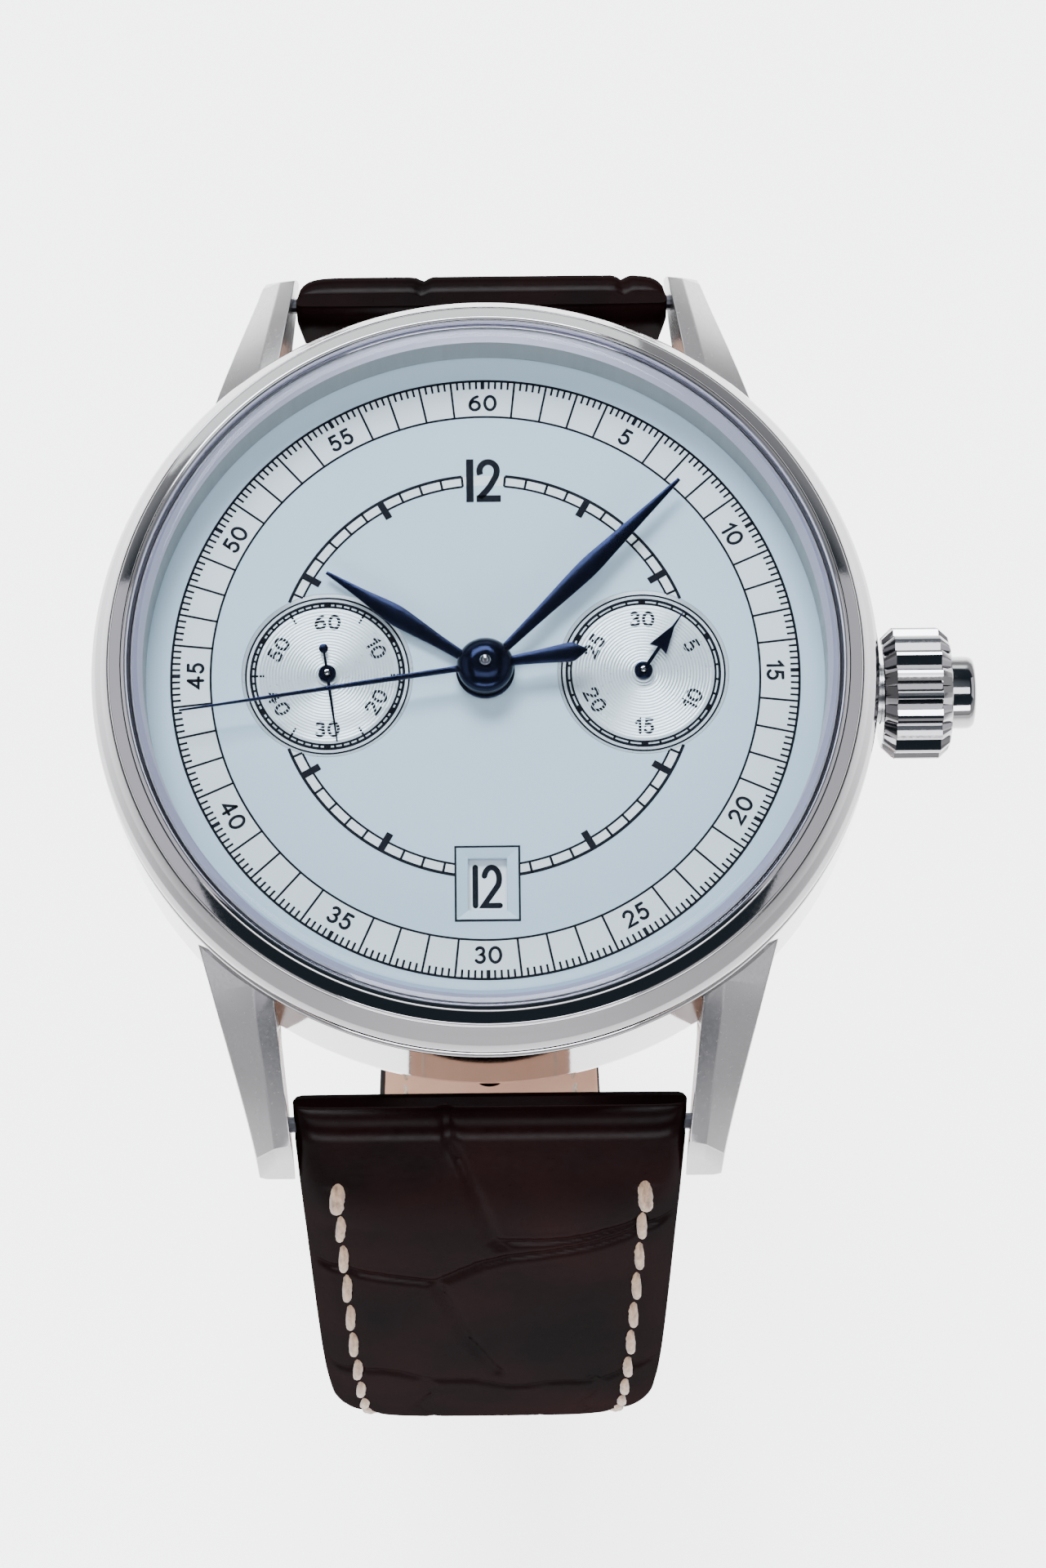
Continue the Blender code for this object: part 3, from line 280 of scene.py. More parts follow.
CHAPTER = textured("chapter_silver", (0.66, 0.74, 0.74), (0.34, 0.46), 0.0, 200, 0.03, 5200, 0.0015)
SILVERED = textured("silvered_subdial", (0.55, 0.63, 0.66), (0.26, 0.36), 0.3, 200, 0.03, 5200, 0.001)
DATE_WHITE = textured("date_lacquer", (0.78, 0.86, 0.90), (0.4, 0.5), 0.0, 200, 0.02, 5200, 0.0008)
INK = textured("dial_ink", (0.003, 0.004, 0.008), (0.5, 0.6), 0.0, 800, 0.2, 6000, 0.001,
               Specular_IOR_Level=0.08)
GILT = textured("gilt_brass", (0.78, 0.58, 0.24), (0.2, 0.34), 1.0, 400, 0.06, 3000, 0.003)
RHODIUM = striped("geneva_rhodium", (0.66, 0.67, 0.70), 1.3, radians(35))
ROTOR_FACE = striped("geneva_rotor", (0.72, 0.73, 0.75), 1.6)
PLATE = textured("perlage_plate", (0.60, 0.61, 0.64), (0.25, 0.4), 1.0, 800, 0.1, 1500, 0.012)
RUBBER = textured("black_rubber", (0.018, 0.018, 0.02), (0.5, 0.7), 0.0, 800, 0.2, 3000, 0.01)
SEAL = textured("pale_seal", (0.72, 0.72, 0.78), (0.35, 0.5), 0.0, 800, 0.04, 3000, 0.004)
RUBY = textured("ruby_jewel", (0.42, 0.01, 0.06), (0.05, 0.1), 0.0, 900, 0.2, 4000, 0.0005,
                Coat_Weight=0.8)
CRYSTAL = clear_glass("coated_sapphire", (0.97, 0.985, 1.0), 0.01)
BACK_GLASS = clear_glass("back_sapphire", (0.96, 0.97, 0.98), 0.02)
EDGE_GLASS = clear_glass("sapphire_bevel", (0.72, 0.72, 0.82), 0.04)
ALLIGATOR = leather("alligator", (0.0018, 0.0006, 0.0007), (0.009, 0.0020, 0.0023), (0.27, 0.35),
                    1500, 0.006, 0.0055)
LINING = leather("calf_lining", (0.40, 0.22, 0.15), (0.49, 0.29, 0.205), (0.6, 0.8), 2400, 0.03, 0.01)
EDGE_PAINT = leather("painted_edge", (0.003, 0.0012, 0.0012), (0.008, 0.003, 0.003), (0.3, 0.5),
                     1800, 0.01, 0.01)
THREAD = thread("waxed_thread")


# Mesh tools ----


def body_of(node):
    return next(body for body, nodes in frame["record"]["behaviour"]["bodies"].items() if node in nodes)


def slot_of(node):
    return next(part["material_slot"] for part in frame["record"]["subparts"] if part["node"] == node)


def levels_of(node):
    """The lowest and highest level of a CAD node."""
    return [corner.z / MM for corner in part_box(node)]


def piece(name, bm, body, *materials, smooth=32, slot=None):
    """Turns a bmesh in millimetres into a finished piece that rides on a CAD body."""
    bmesh.ops.recalc_face_normals(bm, faces=bm.faces)
    mesh = bpy.data.meshes.new(name)
    bm.to_mesh(mesh)
    bm.free()
    mesh.transform(Matrix.Scale(MM, 4))
    for material in materials:
        mesh.materials.append(material)
    mesh.shade_smooth()
    mesh.set_sharp_from_angle(angle=radians(smooth))
    obj = bpy.data.objects.new(name, mesh)
    bpy.context.scene.collection.objects.link(obj)
    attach(obj, body)
    even = obj.modifiers.new("even_shading", "WEIGHTED_NORMAL")
    even.keep_sharp = True
    return obj


def stand_in(node, bm, *materials, smooth=32):
    """A finely made piece that is shown instead of a CAD node."""
    obj = piece(f"fine_{node}", bm, body_of(node), *materials, smooth=smooth, slot=slot_of(node))
    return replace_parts(obj, node)


def clock(radius, degrees):
    """A point on the dial, clockwise from 12 o'clock."""
    return radius * sin(radians(degrees)), radius * cos(radians(degrees))


def circle(radius, count=ROUND, centre=(0, 0)):
    angles = [2 * pi * i / count for i in range(count)]
    return [(centre[0] + radius * cos(a), centre[1] + radius * sin(a)) for a in angles]


def bend(cx, cy, rx, ry, first, last, steps=14):
    """Points on an elliptical arc, between two angles in degrees."""
    angles = [radians(first + (last - first) * i / steps) for i in range(steps + 1)]
    return [(cx + rx * cos(a), cy + ry * sin(a)) for a in angles]


def eased(points, size, closed=True, steps=3):
    """An outline whose corners are rounded off over the given length."""
    made = []
    for i, point in enumerate(points):
        if not closed and i in (0, len(points) - 1):
            made.append(tuple(point))
            continue
        here = Vector(point)
        ends = []
        for other in (points[i - 1], points[(i + 1) % len(points)]):
            away = Vector(other) - here
            ends.append(here + away.normalized() * min(size, 0.45 * away.length))
        for k in range(steps + 1):
            t = k / steps
            made.append(tuple(ends[0] * (1 - t) ** 2 + here * 2 * t * (1 - t) + ends[1] * t * t))
    return made


def smooth_line(points, per_span):
    """Points on a smooth curve through the given ones."""
    first = [2 * a - b for a, b in zip(points[0], points[1])]
    last = [2 * a - b for a, b in zip(points[-1], points[-2])]
    full = [first, *points, last]
    line = []
    for i in range(1, len(full) - 2):
        p0, p1, p2, p3 = (Vector(p) for p in full[i - 1:i + 3])
        for k in range(per_span):
            t = k / per_span
            curve = 2 * p1 + (p2 - p0) * t + (2 * p0 - 5 * p1 + 4 * p2 - p3) * t**2
            line.append((curve + (3 * p1 - p0 - 3 * p2 + p3) * t**3) / 2)
    return line + [Vector(points[-1])]


def lathe(bm, profile, turns=ROUND, place=Matrix(), material=0):
    """A turned solid about Z: a profile that starts on the axis is closed there, any other is a ring."""
    rows = []
    for radius, height in profile:
        count = turns if radius else 1
        angles = [2 * pi * i / turns for i in range(count)]
        row = [Vector((radius * cos(a), radius * sin(a), height)) for a in angles]
        rows.append([bm.verts.new(place @ point) for point in row])
    pairs = list(zip(rows, rows[1:]))
    if profile[0][0]:
        pairs.append((rows[-1], rows[0]))
    for near, far in pairs:
        for i in range(turns):
            j = (i + 1) % turns
            corners = (near[i % len(near)], near[j % len(near)], far[j % len(far)], far[i % len(far)])
            bm.faces.new(dict.fromkeys(corners)).material_index = material
    return bm


def skin(bm, pairs, material=0):
    """Faces between each pair of rows of vertices, all round."""
    for near, far in pairs:
        for i in range(len(near)):
            j = (i + 1) % len(near)
            bm.faces.new((near[i], near[j], far[j], far[i])).material_index = material


def loft(bm, rings, material=0, capped=True):
    rows = [[bm.verts.new(Vector(point)) for point in ring] for ring in rings]
    skin(bm, zip(rows, rows[1:]), material)
    if capped:
        bm.faces.new(reversed(rows[0])).material_index = material
        bm.faces.new(rows[-1]).material_index = material
    return bm


def plate(bm, outlines, low, high, ease=0.02, place=Matrix(), material=0):
    """A plate of one outline and any holes in it, with its edges broken."""
    curve = bpy.data.curves.new("plate", "CURVE")
    curve.dimensions = "2D"
    curve.fill_mode = "BOTH"
    curve.extrude = (high - low) / 2 - ease
    curve.bevel_depth = ease
    curve.bevel_resolution = 1
    curve.offset = -ease
    for outline in outlines:
        spline = curve.splines.new("POLY")
        spline.points.add(len(outline) - 1)
        for point, at in zip(spline.points, outline):
            point.co = (at[0], at[1], 0, 1)
        spline.use_cyclic_u = True
    shape = bpy.data.objects.new("plate", curve)
    bpy.context.scene.collection.objects.link(shape)
    graph = bpy.context.evaluated_depsgraph_get()
    mesh = bpy.data.meshes.new_from_object(shape.evaluated_get(graph))
    bpy.data.objects.remove(shape)
    bpy.data.curves.remove(curve)
    mesh.transform(place @ Matrix.Translation((0, 0, (low + high) / 2)))
    part = bmesh.new()
    part.from_mesh(mesh)
    bmesh.ops.remove_doubles(part, verts=part.verts, dist=1e-4)
    bmesh.ops.dissolve_degenerate(part, edges=part.edges, dist=1e-5)
    for face in part.faces:
        face.material_index = material
    part.to_mesh(mesh)
    part.free()
    bm.from_mesh(mesh)
    bpy.data.meshes.remove(mesh)
    return bm


def ribbon(bm, path, half, low, high, place=Matrix(), closed=False, blunt=False):
    """A printed line of constant width along a path, with round or blunt ends."""
    points = [Vector(p[:2]) for p in path]
    count = len(points)
    sections = []
    for i, point in enumerate(points):
        before = points[i - 1] if closed or i else None
        after = points[(i + 1) % count] if closed or i < count - 1 else None
        ins = (point - before).normalized() if before is not None else None
        out = (after - point).normalized() if after is not None else None
        ahead = ((ins or out) + (out or ins)).normalized()
        widen = 1 / max(0.5, ahead.dot(out or ins))
        sections.append((point, Vector((-ahead.y, ahead.x)) * half * widen))
    if not closed and not blunt:
        for at, other in ((0, 1), (-1, -2)):
            point, side = sections[at]
            away = (points[at] - points[other]).normalized() * half
            arc = [radians(a) for a in (35, 65, 88)]
            tips = [(point + away * sin(a), side * cos(a)) for a in arc]
            sections = tips[::-1] + sections if at == 0 else sections + tips
    rows = []
    for point, side in sections:
        left, right = point - side, point + side
        corners = ((*left, low), (*right, low), (*right, high), (*left, high))
        rows.append([bm.verts.new(place @ Vector(corner)) for corner in corners])
    pairs = list(zip(rows, rows[1:]))
    if closed:
        pairs.append((rows[-1], rows[0]))
    else:
        bm.faces.new(reversed(rows[0]))
        bm.faces.new(rows[-1])
    skin(bm, pairs)
    return bm


def boolean(obj, cutter_bm, operation="DIFFERENCE"):
    """Cuts a finished piece, or joins to it, with a solid given in millimetres."""
    bmesh.ops.recalc_face_normals(cutter_bm, faces=cutter_bm.faces)
    mesh = bpy.data.meshes.new("tool")
    cutter_bm.to_mesh(mesh)
    cutter_bm.free()
    mesh.transform(Matrix.Scale(MM, 4))
    tool = bpy.data.objects.new("tool", mesh)
    bpy.context.scene.collection.objects.link(tool)
    obj.modifiers.clear()
    step = obj.modifiers.new("tool", "BOOLEAN")
    step.operation = operation
    step.solver = "EXACT"
    step.object = tool
    graph = bpy.context.evaluated_depsgraph_get()
    made = bpy.data.meshes.new_from_object(obj.evaluated_get(graph))
    obj.modifiers.remove(step)
    obj.data = made
    obj.modifiers.new("even_shading", "WEIGHTED_NORMAL").keep_sharp = True
    bpy.data.objects.remove(tool)
    bpy.data.meshes.remove(mesh)
    return obj


ALONG_X = Matrix.Rotation(pi / 2, 4, "Y")


def spun(degrees):
    return Matrix.Rotation(radians(degrees), 4, "Z")


def at(x, y, z, turned=Matrix()):
    return Matrix.Translation((x, y, z)) @ turned


def mirrored(right):
    """An outline whose left side repeats the given right one."""
    return right + [(-x, y) for x, y in reversed(right)]


def rod(radius, low, high):
    """The profile of a cylinder, to be turned."""
    return [(0, high), (radius, high), (radius, low), (0, low)]


def collar(inner, outer, low, high):
    """The profile of a plain ring, to be turned."""
    return [(outer, high), (outer, low), (inner, low), (inner, high)]


# Numerals ----

# Each figure is drawn in a box one unit high: its width, then its strokes; a stroke is closed or open.
def loop(cx, cy, rx, ry, steps=14):
    """A closed oval stroke."""
    return True, bend(cx, cy, rx, ry, 0, 360, steps)[:-1]


SIX = [loop(0.33, 0.31, 0.33, 0.31), (False, bend(0.66, 0.31, 0.66, 0.69, 103, 172))]
FIGURES = {
    "0": (0.72, [loop(0.36, 0.5, 0.36, 0.5, 24)]),
    "1": (0.27, [(False, [(0.0, 0.76), (0.27, 1.0), (0.27, 0.0)])]),
    "2": (0.62, [(False, bend(0.31, 0.70, 0.29, 0.30, 165, -38) + [(0.0, 0.0), (0.62, 0.0)])]),
    "3": (0.56, [
        (False, bend(0.27, 0.76, 0.25, 0.24, 150, -82) + bend(0.27, 0.27, 0.29, 0.27, 75, -150)),
    ]),
    "4": (0.72, [(False, [(0.5, 1.0), (0.0, 0.3), (0.72, 0.3)]), (False, [(0.5, 1.0), (0.5, 0.0)])]),
    "5": (0.57, [(False, [(0.54, 1.0), (0.14, 1.0)] + bend(0.27, 0.32, 0.30, 0.32, 128, -150))]),
    "6": (0.66, SIX),
    "7": (0.60, [(False, [(0.0, 1.0), (0.60, 1.0), (0.2, 0.0)])]),
    "8": (0.60, [loop(0.3, 0.76, 0.25, 0.24), loop(0.3, 0.27, 0.3, 0.27)]),
    "9": (0.66, [(closed, [(0.66 - x, 1 - y) for x, y in line]) for closed, line in SIX]),
}
NARROW_ONE = (0.0, [(False, [(0.0, 0.0), (0.0, 1.0)])])


def numeral(bm, text, height, half, place, level, stretch=1.0, gap=0.3, straight_one=False):
    """Printed figures side by side, centred on their place."""
    figures = [NARROW_ONE if straight_one and c == "1" else FIGURES[c] for c in text]
    widths = [width * stretch * height for width, _ in figures]
    x = -(sum(widths) + gap * (len(text) - 1)) / 2
    for width, (_, strokes) in zip(widths, figures):
        for closed, line in strokes:
            path = [(x + px * stretch * height, (py - 0.5) * height) for px, py in line]
            ribbon(bm, path, half, level, level + LIFT, place, closed)
        x += width + gap


def radial(bm, degrees, inner, outer, half, low, high, centre=(0, 0)):
    """A short straight line on a radius of a scale."""
    ends = [clock(radius, degrees) for radius in (inner, outer)]
    path = [(centre[0] + x, centre[1] + y) for x, y in ends]
    return ribbon(bm, path, half, low, high, blunt=True)


def facing(degrees):
    """How far a figure is turned at a place on a scale, so that it stays legible."""
    return -degrees if cos(radians(degrees)) > -0.01 else 180 - degrees


# Dial ----


def rectangle(width, height, centre_y):
    return [
        (-width / 2, centre_y - height / 2), (width / 2, centre_y - height / 2),
        (width / 2, centre_y + height / 2), (-width / 2, centre_y + height / 2),
    ]


def build_dial():
    bm = bmesh.new()
    outlines = [circle(17.8), circle(1.35, 40), rectangle(*FRAME_SIZE, DATE_Y)]
    outlines += [circle(RECESS_R, 96, (side * SUBDIAL_X, 0)) for side in (-1, 1)]
    plate(bm, outlines, DIAL_Z - 0.4, DIAL_Z, 0.03)
    stand_in("dial", bm, ENAMEL, smooth=8)

    bands = bmesh.new()
    for inner, outer in (TRACK_R, HOUR_RING_R):
        lathe(bands, collar(inner, outer, DIAL_Z - 0.02, DIAL_Z + 0.006))
    band = piece("scale_bands", bands, "head", CHAPTER, slot="dial_enamel")
    recesses = bmesh.new()
    for side in (-1, 1):
        lathe(recesses, rod(RECESS_R + 0.02, 9, 12), 96, at(side * SUBDIAL_X, 0, 0))
    plate(recesses, [rectangle(*FRAME_SIZE, DATE_Y)], 9, 12, 0.001)
    boolean(band, recesses)

    frame_bm = bmesh.new()
    width, height = FRAME_SIZE
    inside, inside_height = DATE_SIZE
    levels = (
        (width - 0.02, height - 0.02, -0.25), (width - 0.02, height - 0.02, 0.015),
        (width - 0.16, height - 0.16, 0.015), (inside + 0.06, inside_height + 0.06, -0.16),
        (inside, inside_height, -0.2), (inside, inside_height, -0.38),
        (inside + 0.3, inside_height + 0.3, -0.38), (width - 0.02, height - 0.02, -0.25),
    )
    rings = [[(x, y, DIAL_Z + rise) for x, y in rectangle(w, h, DATE_Y)] for w, h, rise in levels]
    loft(frame_bm, rings, capped=False)
    bmesh.ops.remove_doubles(frame_bm, verts=frame_bm.verts, dist=1e-4)
    piece("date_frame", frame_bm, "head", ENAMEL, smooth=10, slot="dial_enamel")


def build_seconds_scale():
    low, high = DIAL_Z, DIAL_Z + LIFT
    bm = bmesh.new()
    for radius, half in ((TRACK_R[1], 0.065), (TRACK_R[0], 0.055)):
        ribbon(bm, circle(radius, 240), half, low, high, closed=True)
    for second in range(60):
        for fifth in range(5):
            degrees = 6 * second + 1.2 * fifth
            if fifth:
                radial(bm, degrees, TRACK_R[1] - 0.45, TRACK_R[1], 0.056, low, high)
            elif second % 5:
                radial(bm, degrees, *TRACK_R, 0.056, low, high)
            else:
                radial(bm, degrees, TRACK_R[1] - 0.46, TRACK_R[1], 0.1, low, high)
        if second % 5 == 0:
            degrees = 6 * second
            place = at(*clock(14.77, degrees), 0, spun(facing(degrees)))
            numeral(bm, str(second or 60), 0.76, 0.078, place, low, gap=0.27)
    piece("seconds_scale", bm, "head", INK, slot="dial_enamel")


def build_hour_ring():
    """The hour ring stops at the 12, at the date window and at both subdials."""
    low, high = DIAL_Z, DIAL_Z + LIFT
    bm = bmesh.new()
    date_edge = atan2(FRAME_SIZE[0] / 2, HOUR_RING_R[1]) * 180 / pi
    middle = sum(HOUR_RING_R) / 2
    for radius, half in ((HOUR_RING_R[1], 0.08), (HOUR_RING_R[0], 0.055)):
        reach = (radius**2 + SUBDIAL_X**2 - RECESS_R**2) / (2 * radius * SUBDIAL_X)
        subdial = 180 / pi * atan2((1 - reach**2) ** 0.5, reach)
        for first, last in ((6, 90 - subdial), (90 + subdial, 180 - date_edge)):
            for mirror in (1, -1):
                angles = [first + (last - first) * i / 60 for i in range(61)]
                path = [clock(radius, mirror * angle) for angle in angles]
                ribbon(bm, path, half, low, high, blunt=True)
    for minute in range(60):
        degrees = 6 * minute
        x, y = clock(middle, degrees)
        clear = all(hypot(x - side * SUBDIAL_X, y) > RECESS_R + 0.1 for side in (-1, 1))
        if minute and clear and not (abs(x) < FRAME_SIZE[0] / 2 and y < 0):
            radial(bm, degrees, *HOUR_RING_R, 0.062, low, high)
    for hour in (1, 2, 4, 5, 7, 8, 10, 11):
        radial(bm, 30 * hour, HOUR_RING_R[1] - 1.0, HOUR_RING_R[1] + 0.05, 0.18, low, high + 0.01)
    top = at(0, 10.47, 0)
    neck = bend(0.25, 0.53, 0.45, 0.49, 205, -18, 20)
    neck += smooth_line([(0.64, 0.22), (0.3, -0.38), (-0.15, -0.9)], 6) + [(-0.2, -0.98)]
    strokes = (([(-0.70, -1.18), (-0.70, 1.18)], 0.19), (neck, 0.16), ([(-0.36, -1.0), (0.89, -1.0)], 0.18))
    for stroke, half in strokes:
        ribbon(bm, stroke, half, low, high + 0.01, top, blunt=True)
    ribbon(bm, rectangle(*FRAME_SIZE, DATE_Y), 0.05, low, high + 0.02, closed=True)
    piece("hour_scale", bm, "head", INK, slot="dial_enamel")


def build_subdial(node, side, divisions, step, names):
    """A sunk subdial with its turned circles, its railway track and its figures."""
    centre = (side * SUBDIAL_X, 0)
    place = at(*centre, 0)
    z = SUBDIAL_Z
    pitch, depth = 0.16, 0.02
    profile = [(0.32, z - 0.2), (0.32, z - 0.004)]
    for i in range(int((3.62 - 0.36) / pitch)):
        profile += [(0.36 + i * pitch, z - 0.004), (0.36 + (i + 0.5) * pitch, z - 0.004 + depth)]
    profile += [(3.64, z - 0.002), (4.20, z - 0.002), (4.23, z + 0.03), (RECESS_R - 0.015, z + 0.135),
                (RECESS_R - 0.015, z - 0.2)]
    bm = lathe(bmesh.new(), profile[::-1], 128, place)
    stand_in(node, bm, SILVERED, smooth=3)

    low, high = z, z + LIFT
    print_bm = bmesh.new()
    for radius, half in ((4.16, 0.045), (3.90, 0.07), (3.69, 0.055)):
        ribbon(print_bm, circle(radius, 160, centre), half, low, high, closed=True)
    for i in range(divisions):
        degrees = 360 * i / divisions
        wide = 0.18 if i % step == 0 else 0.06
        radial(print_bm, degrees, 3.69, 3.90, wide, low, high, centre)
        if step == 10 and i % step == 5:
            radial(print_bm, degrees, 3.22, 3.69, 0.055, low, high, centre)
    for i, name in enumerate(names):
        degrees = 360 * i / len(names)
        x, y = clock(2.86, degrees)
        place = at(centre[0] + x, y, 0, spun(facing(degrees)))
        numeral(print_bm, name, 0.68, 0.08, place, low, gap=0.25)
    piece(f"{node}_scale", print_bm, "head", INK, slot="dial_enamel")


def build_date_disc():
    stand_in("date_disc", lathe(bmesh.new(), collar(8.9, 13.1, 9.1, DATE_Z)), DATE_WHITE)
    days = bmesh.new()
    for day in range(1, 32):
        degrees = 180 + 360 * (12 - day) / 31
        place = at(*clock(-DATE_Y, degrees), 0, spun(180 - degrees))
        numeral(days, str(day), 1.98, 0.145, place, DATE_Z, 0.66, 0.42, straight_one=True)
    piece("date_figures", days, "date", INK, slot="dial_enamel")


# Hands ----


def limb(points, turn=1):
    """Both edges of a hand's blade, from (distance, half width) points, pointing along +Y."""
    line = smooth_line([(half, reach) for reach, half in points], 7)
    return mirrored([(turn * max(x, 0.012), turn * y) for x, y in line])


def hub_arc(radius, first, last, steps=16):
    return bend(0, 0, radius, radius, first, last, steps)


def hand(node, blade, tail, hub, bore, place, degrees, extras=()):
    """A flat blued hand: its blade, its tail or none, and its hub, turned clockwise from 12."""
    lean = 180 / pi * atan2(blade[0][1], blade[0][0])
    outline = limb(blade)
    if tail:
        foot = 180 / pi * atan2(tail[0][1], tail[0][0])
        outline += hub_arc(hub, 90 + lean + 3, 270 - foot - 3)
        outline += limb(tail, -1)
        outline += hub_arc(hub, -90 + foot + 3, 90 - lean - 3)
    else:
        outline += hub_arc(hub, 90 + lean + 3, 450 - lean - 3, 40)
    bm = plate(bmesh.new(), [outline, circle(bore, 24)], 0, HAND_T, 0.016, at(*place, spun(-degrees)))
    for profile in extras:
        lathe(bm, profile, 64, at(*place))
    return stand_in(node, bm, BLUED, smooth=28)


def build_hands():
    names = ("hour", "minute", "chrono_seconds", "small_seconds")
    hour_z, minute_z, chrono_z, small_z = (levels_of(f"{name}_hand")[0] for name in names)
    leaf = [(1.4, 0.26), (2.8, 0.33), (4.3, 0.46), (5.4, 0.54), (6.3, 0.46), (7.6, 0.28), (9.7, 0.08)]
    hand("hour_hand", leaf, (), 1.5, 1.24, (0, 0, hour_z), HOUR_AT)
    leaf = [(1.3, 0.22), (4.0, 0.34), (6.2, 0.47), (7.6, 0.52), (9.0, 0.44), (11.6, 0.26), (14.25, 0.09)]
    hand("minute_hand", leaf, (), 1.4, 0.87, (0, 0, minute_z), MINUTE_AT)

    needle = [(1.3, 0.16), (5.0, 0.13), (10.0, 0.09), (15.65, 0.045)]
    tail = [(1.3, 0.25), (2.4, 0.33), (3.5, 0.43), (4.25, 0.5), (4.5, 0.49), (4.65, 0.42), (5.05, 0.17),
            (5.25, 0.04)]
    dome = [
        (0.3, 0.74), (0.45, 0.765), (0.75, 0.71), (1.0, 0.62), (1.2, 0.49), (1.36, 0.3), (1.44, 0.1),
        (1.45, 0.0), (1.43, -0.07), (1.35, -0.08), (0.3, -0.08),
    ]
    hand("chrono_seconds_hand", needle, tail, 1.4, 0.3, (0, 0, chrono_z), CHRONO_AT, (dome,))

    build_small_hands(small_z)


def build_small_hands(small_z):
    boss = [(0.2, HAND_T + 0.05), (0.36, HAND_T + 0.05), (0.45, HAND_T - 0.02), (0.46, 0.02), (0.4, 0.0),
            (0.2, 0.0)]
    needle = [(0.4, 0.085), (2.0, 0.06), (3.65, 0.035)]
    tail = [(0.4, 0.065), (0.8, 0.06), (1.1, 0.06), (1.19, 0.17), (1.37, 0.235), (1.55, 0.16), (1.6, 0.04)]
    place = (-SUBDIAL_X, 0, small_z)
    hand("small_seconds_hand", needle, tail, 0.45, 0.2, place, SMALL_AT, (boss,))

    arrow = [(0.42, 0.095), (1.5, 0.085), (1.36, 0.5), (2.82, 0.065), (3.7, 0.03)]
    outline = mirrored([(half, reach) for reach, half in arrow]) + hub_arc(0.47, 106, 434, 30)
    place = (SUBDIAL_X, 0, small_z)
    turned = at(*place, spun(-COUNTER_AT))
    bm = plate(bmesh.new(), [outline, circle(0.2, 24)], 0, HAND_T, 0.014, turned)
    lathe(bm, boss, 48, at(*place))
    stand_in("minute_counter_hand", bm, BLUED, smooth=28)


def build_arbor_caps():
    caps = (("chrono", (0, 0), 0.285, 12.25), ("fourth", (-SUBDIAL_X, 0), 0.17, 10.42),
            ("counter", (SUBDIAL_X, 0), 0.17, 10.42))
    for body, centre, radius, top in caps:
        steps = ((0, 0.01), (0.3, 0.01), (0.5, 0.06), (0.8, 0.05), (1, -0.02), (1, -0.4), (0, -0.4))
        profile = [(radius * share, top + rise) for share, rise in steps]
        cap = lathe(bmesh.new(), profile, 32, at(*centre, 0))
        piece(f"{body}_arbor_cap", cap, body, STEEL, slot="polished_steel")


# Case ----


def lug(bm, side, end):
    """A lug from inside the case wall to its tip: a narrow inner facet, a wide outer bevel, a cut tip."""
    stations = (LUG_ROOT, 14.5, 16.0, 17.5, 19.0, 20.5, 21.8, 22.9, LUG_CUT, 23.56, LUG_TIP)
    rings = []
    for station in stations:
        along = (station - LUG_WIDTH_AT) / (LUG_TIP - LUG_WIDTH_AT)
        outer = 14.4 - 2.7 * along
        inner = 10.7 - 0.8 * max(0, (station - 16.9) / 7.05)
        share = (station - LUG_ROOT) / 10.95
        top = 10.3 - 4.5 * share**1.7
        tip = max(0, station - LUG_CUT)
        top -= 1.6 * tip
        crease = inner + 1.15 - 0.3 * share
        drop = 1.75 + 0.25 * tip
        section = (
            (inner + 0.02, top), (crease, top - 0.42), (outer, top - drop),
            (outer, 3.2), (outer - 0.35, 2.9 + 0.25 * tip), (inner, 2.9 + 0.25 * tip),
        )
        lean = 0.65 * min(1, max(0, (station - 20.5) / 3.45)) ** 2
        ring = []
        for x, z in eased(section, 0.1, steps=2):
            low_share = max(0.0, min(1.0, (top - z) / max(0.5, top - 3)))
            ring.append((side * x, end * (station + lean * low_share), z))
        rings.append(ring)
    return loft(bm, rings, material=1)


def build_case():
    outside = [(0, 10.4), (19.75, 10.4), (20.0, 10.15), (20.0, 4.4), (19.85, 3.4), (19.5, 2.1), (19.4, 2.0),
               (0, 2.0)]
    wall = lathe(bmesh.new(), eased(outside, 0.12, closed=False))
    case = stand_in("mid_case", wall, STEEL, LUG_STEEL, smooth=25)
    for side in (-1, 1):
        for end in (-1, 1):
            boolean(case, lug(bmesh.new(), side, end), "UNION")
    holes = lathe(bmesh.new(), rod(17.9, 1, 12))
    lathe(holes, rod(1.55, 0, 6), 48, at(16, 0, STEM_Z, ALONG_X))
    for end in (-1, 1):
        lathe(holes, rod(0.45, 0, 21.5), 24, at(-10.75, end * BAR_Y, BAR_Z, ALONG_X))
    boolean(case, holes)
    case.data.set_sharp_from_angle(angle=radians(25))


def build_bezel():
    bezel = [
        (18.15, 13.2), (18.33, 13.08), (18.95, 12.8), (19.0, 12.7), (19.07, 12.69), (19.42, 12.12),
        (19.75, 11.62), (19.95, 11.2), (20.0, 10.95), (19.85, 10.72), (19.3, 10.7), (19.3, 10.45),
        (17.92, 10.45), (17.92, 12.7), (18.4, 12.7), (18.4, 13.08), (18.08, 13.12),
    ]
    stand_in("bezel", lathe(bmesh.new(), eased(bezel, 0.06), FINE_ROUND), STEEL, smooth=18)
    flange = [(17.85, 12.7), (17.85, 10.05), (17.3, 10.05), (17.3, 12.15), (17.75, 12.7)]
    flange = lathe(bmesh.new(), flange, FINE_ROUND)
    for face in flange.faces:
        if 12.1 < min(v.co.z for v in face.verts) < 12.6:
            face.material_index = 1
    stand_in("rehaut_ring", flange, FLANGE, FLANGE_EDGE)


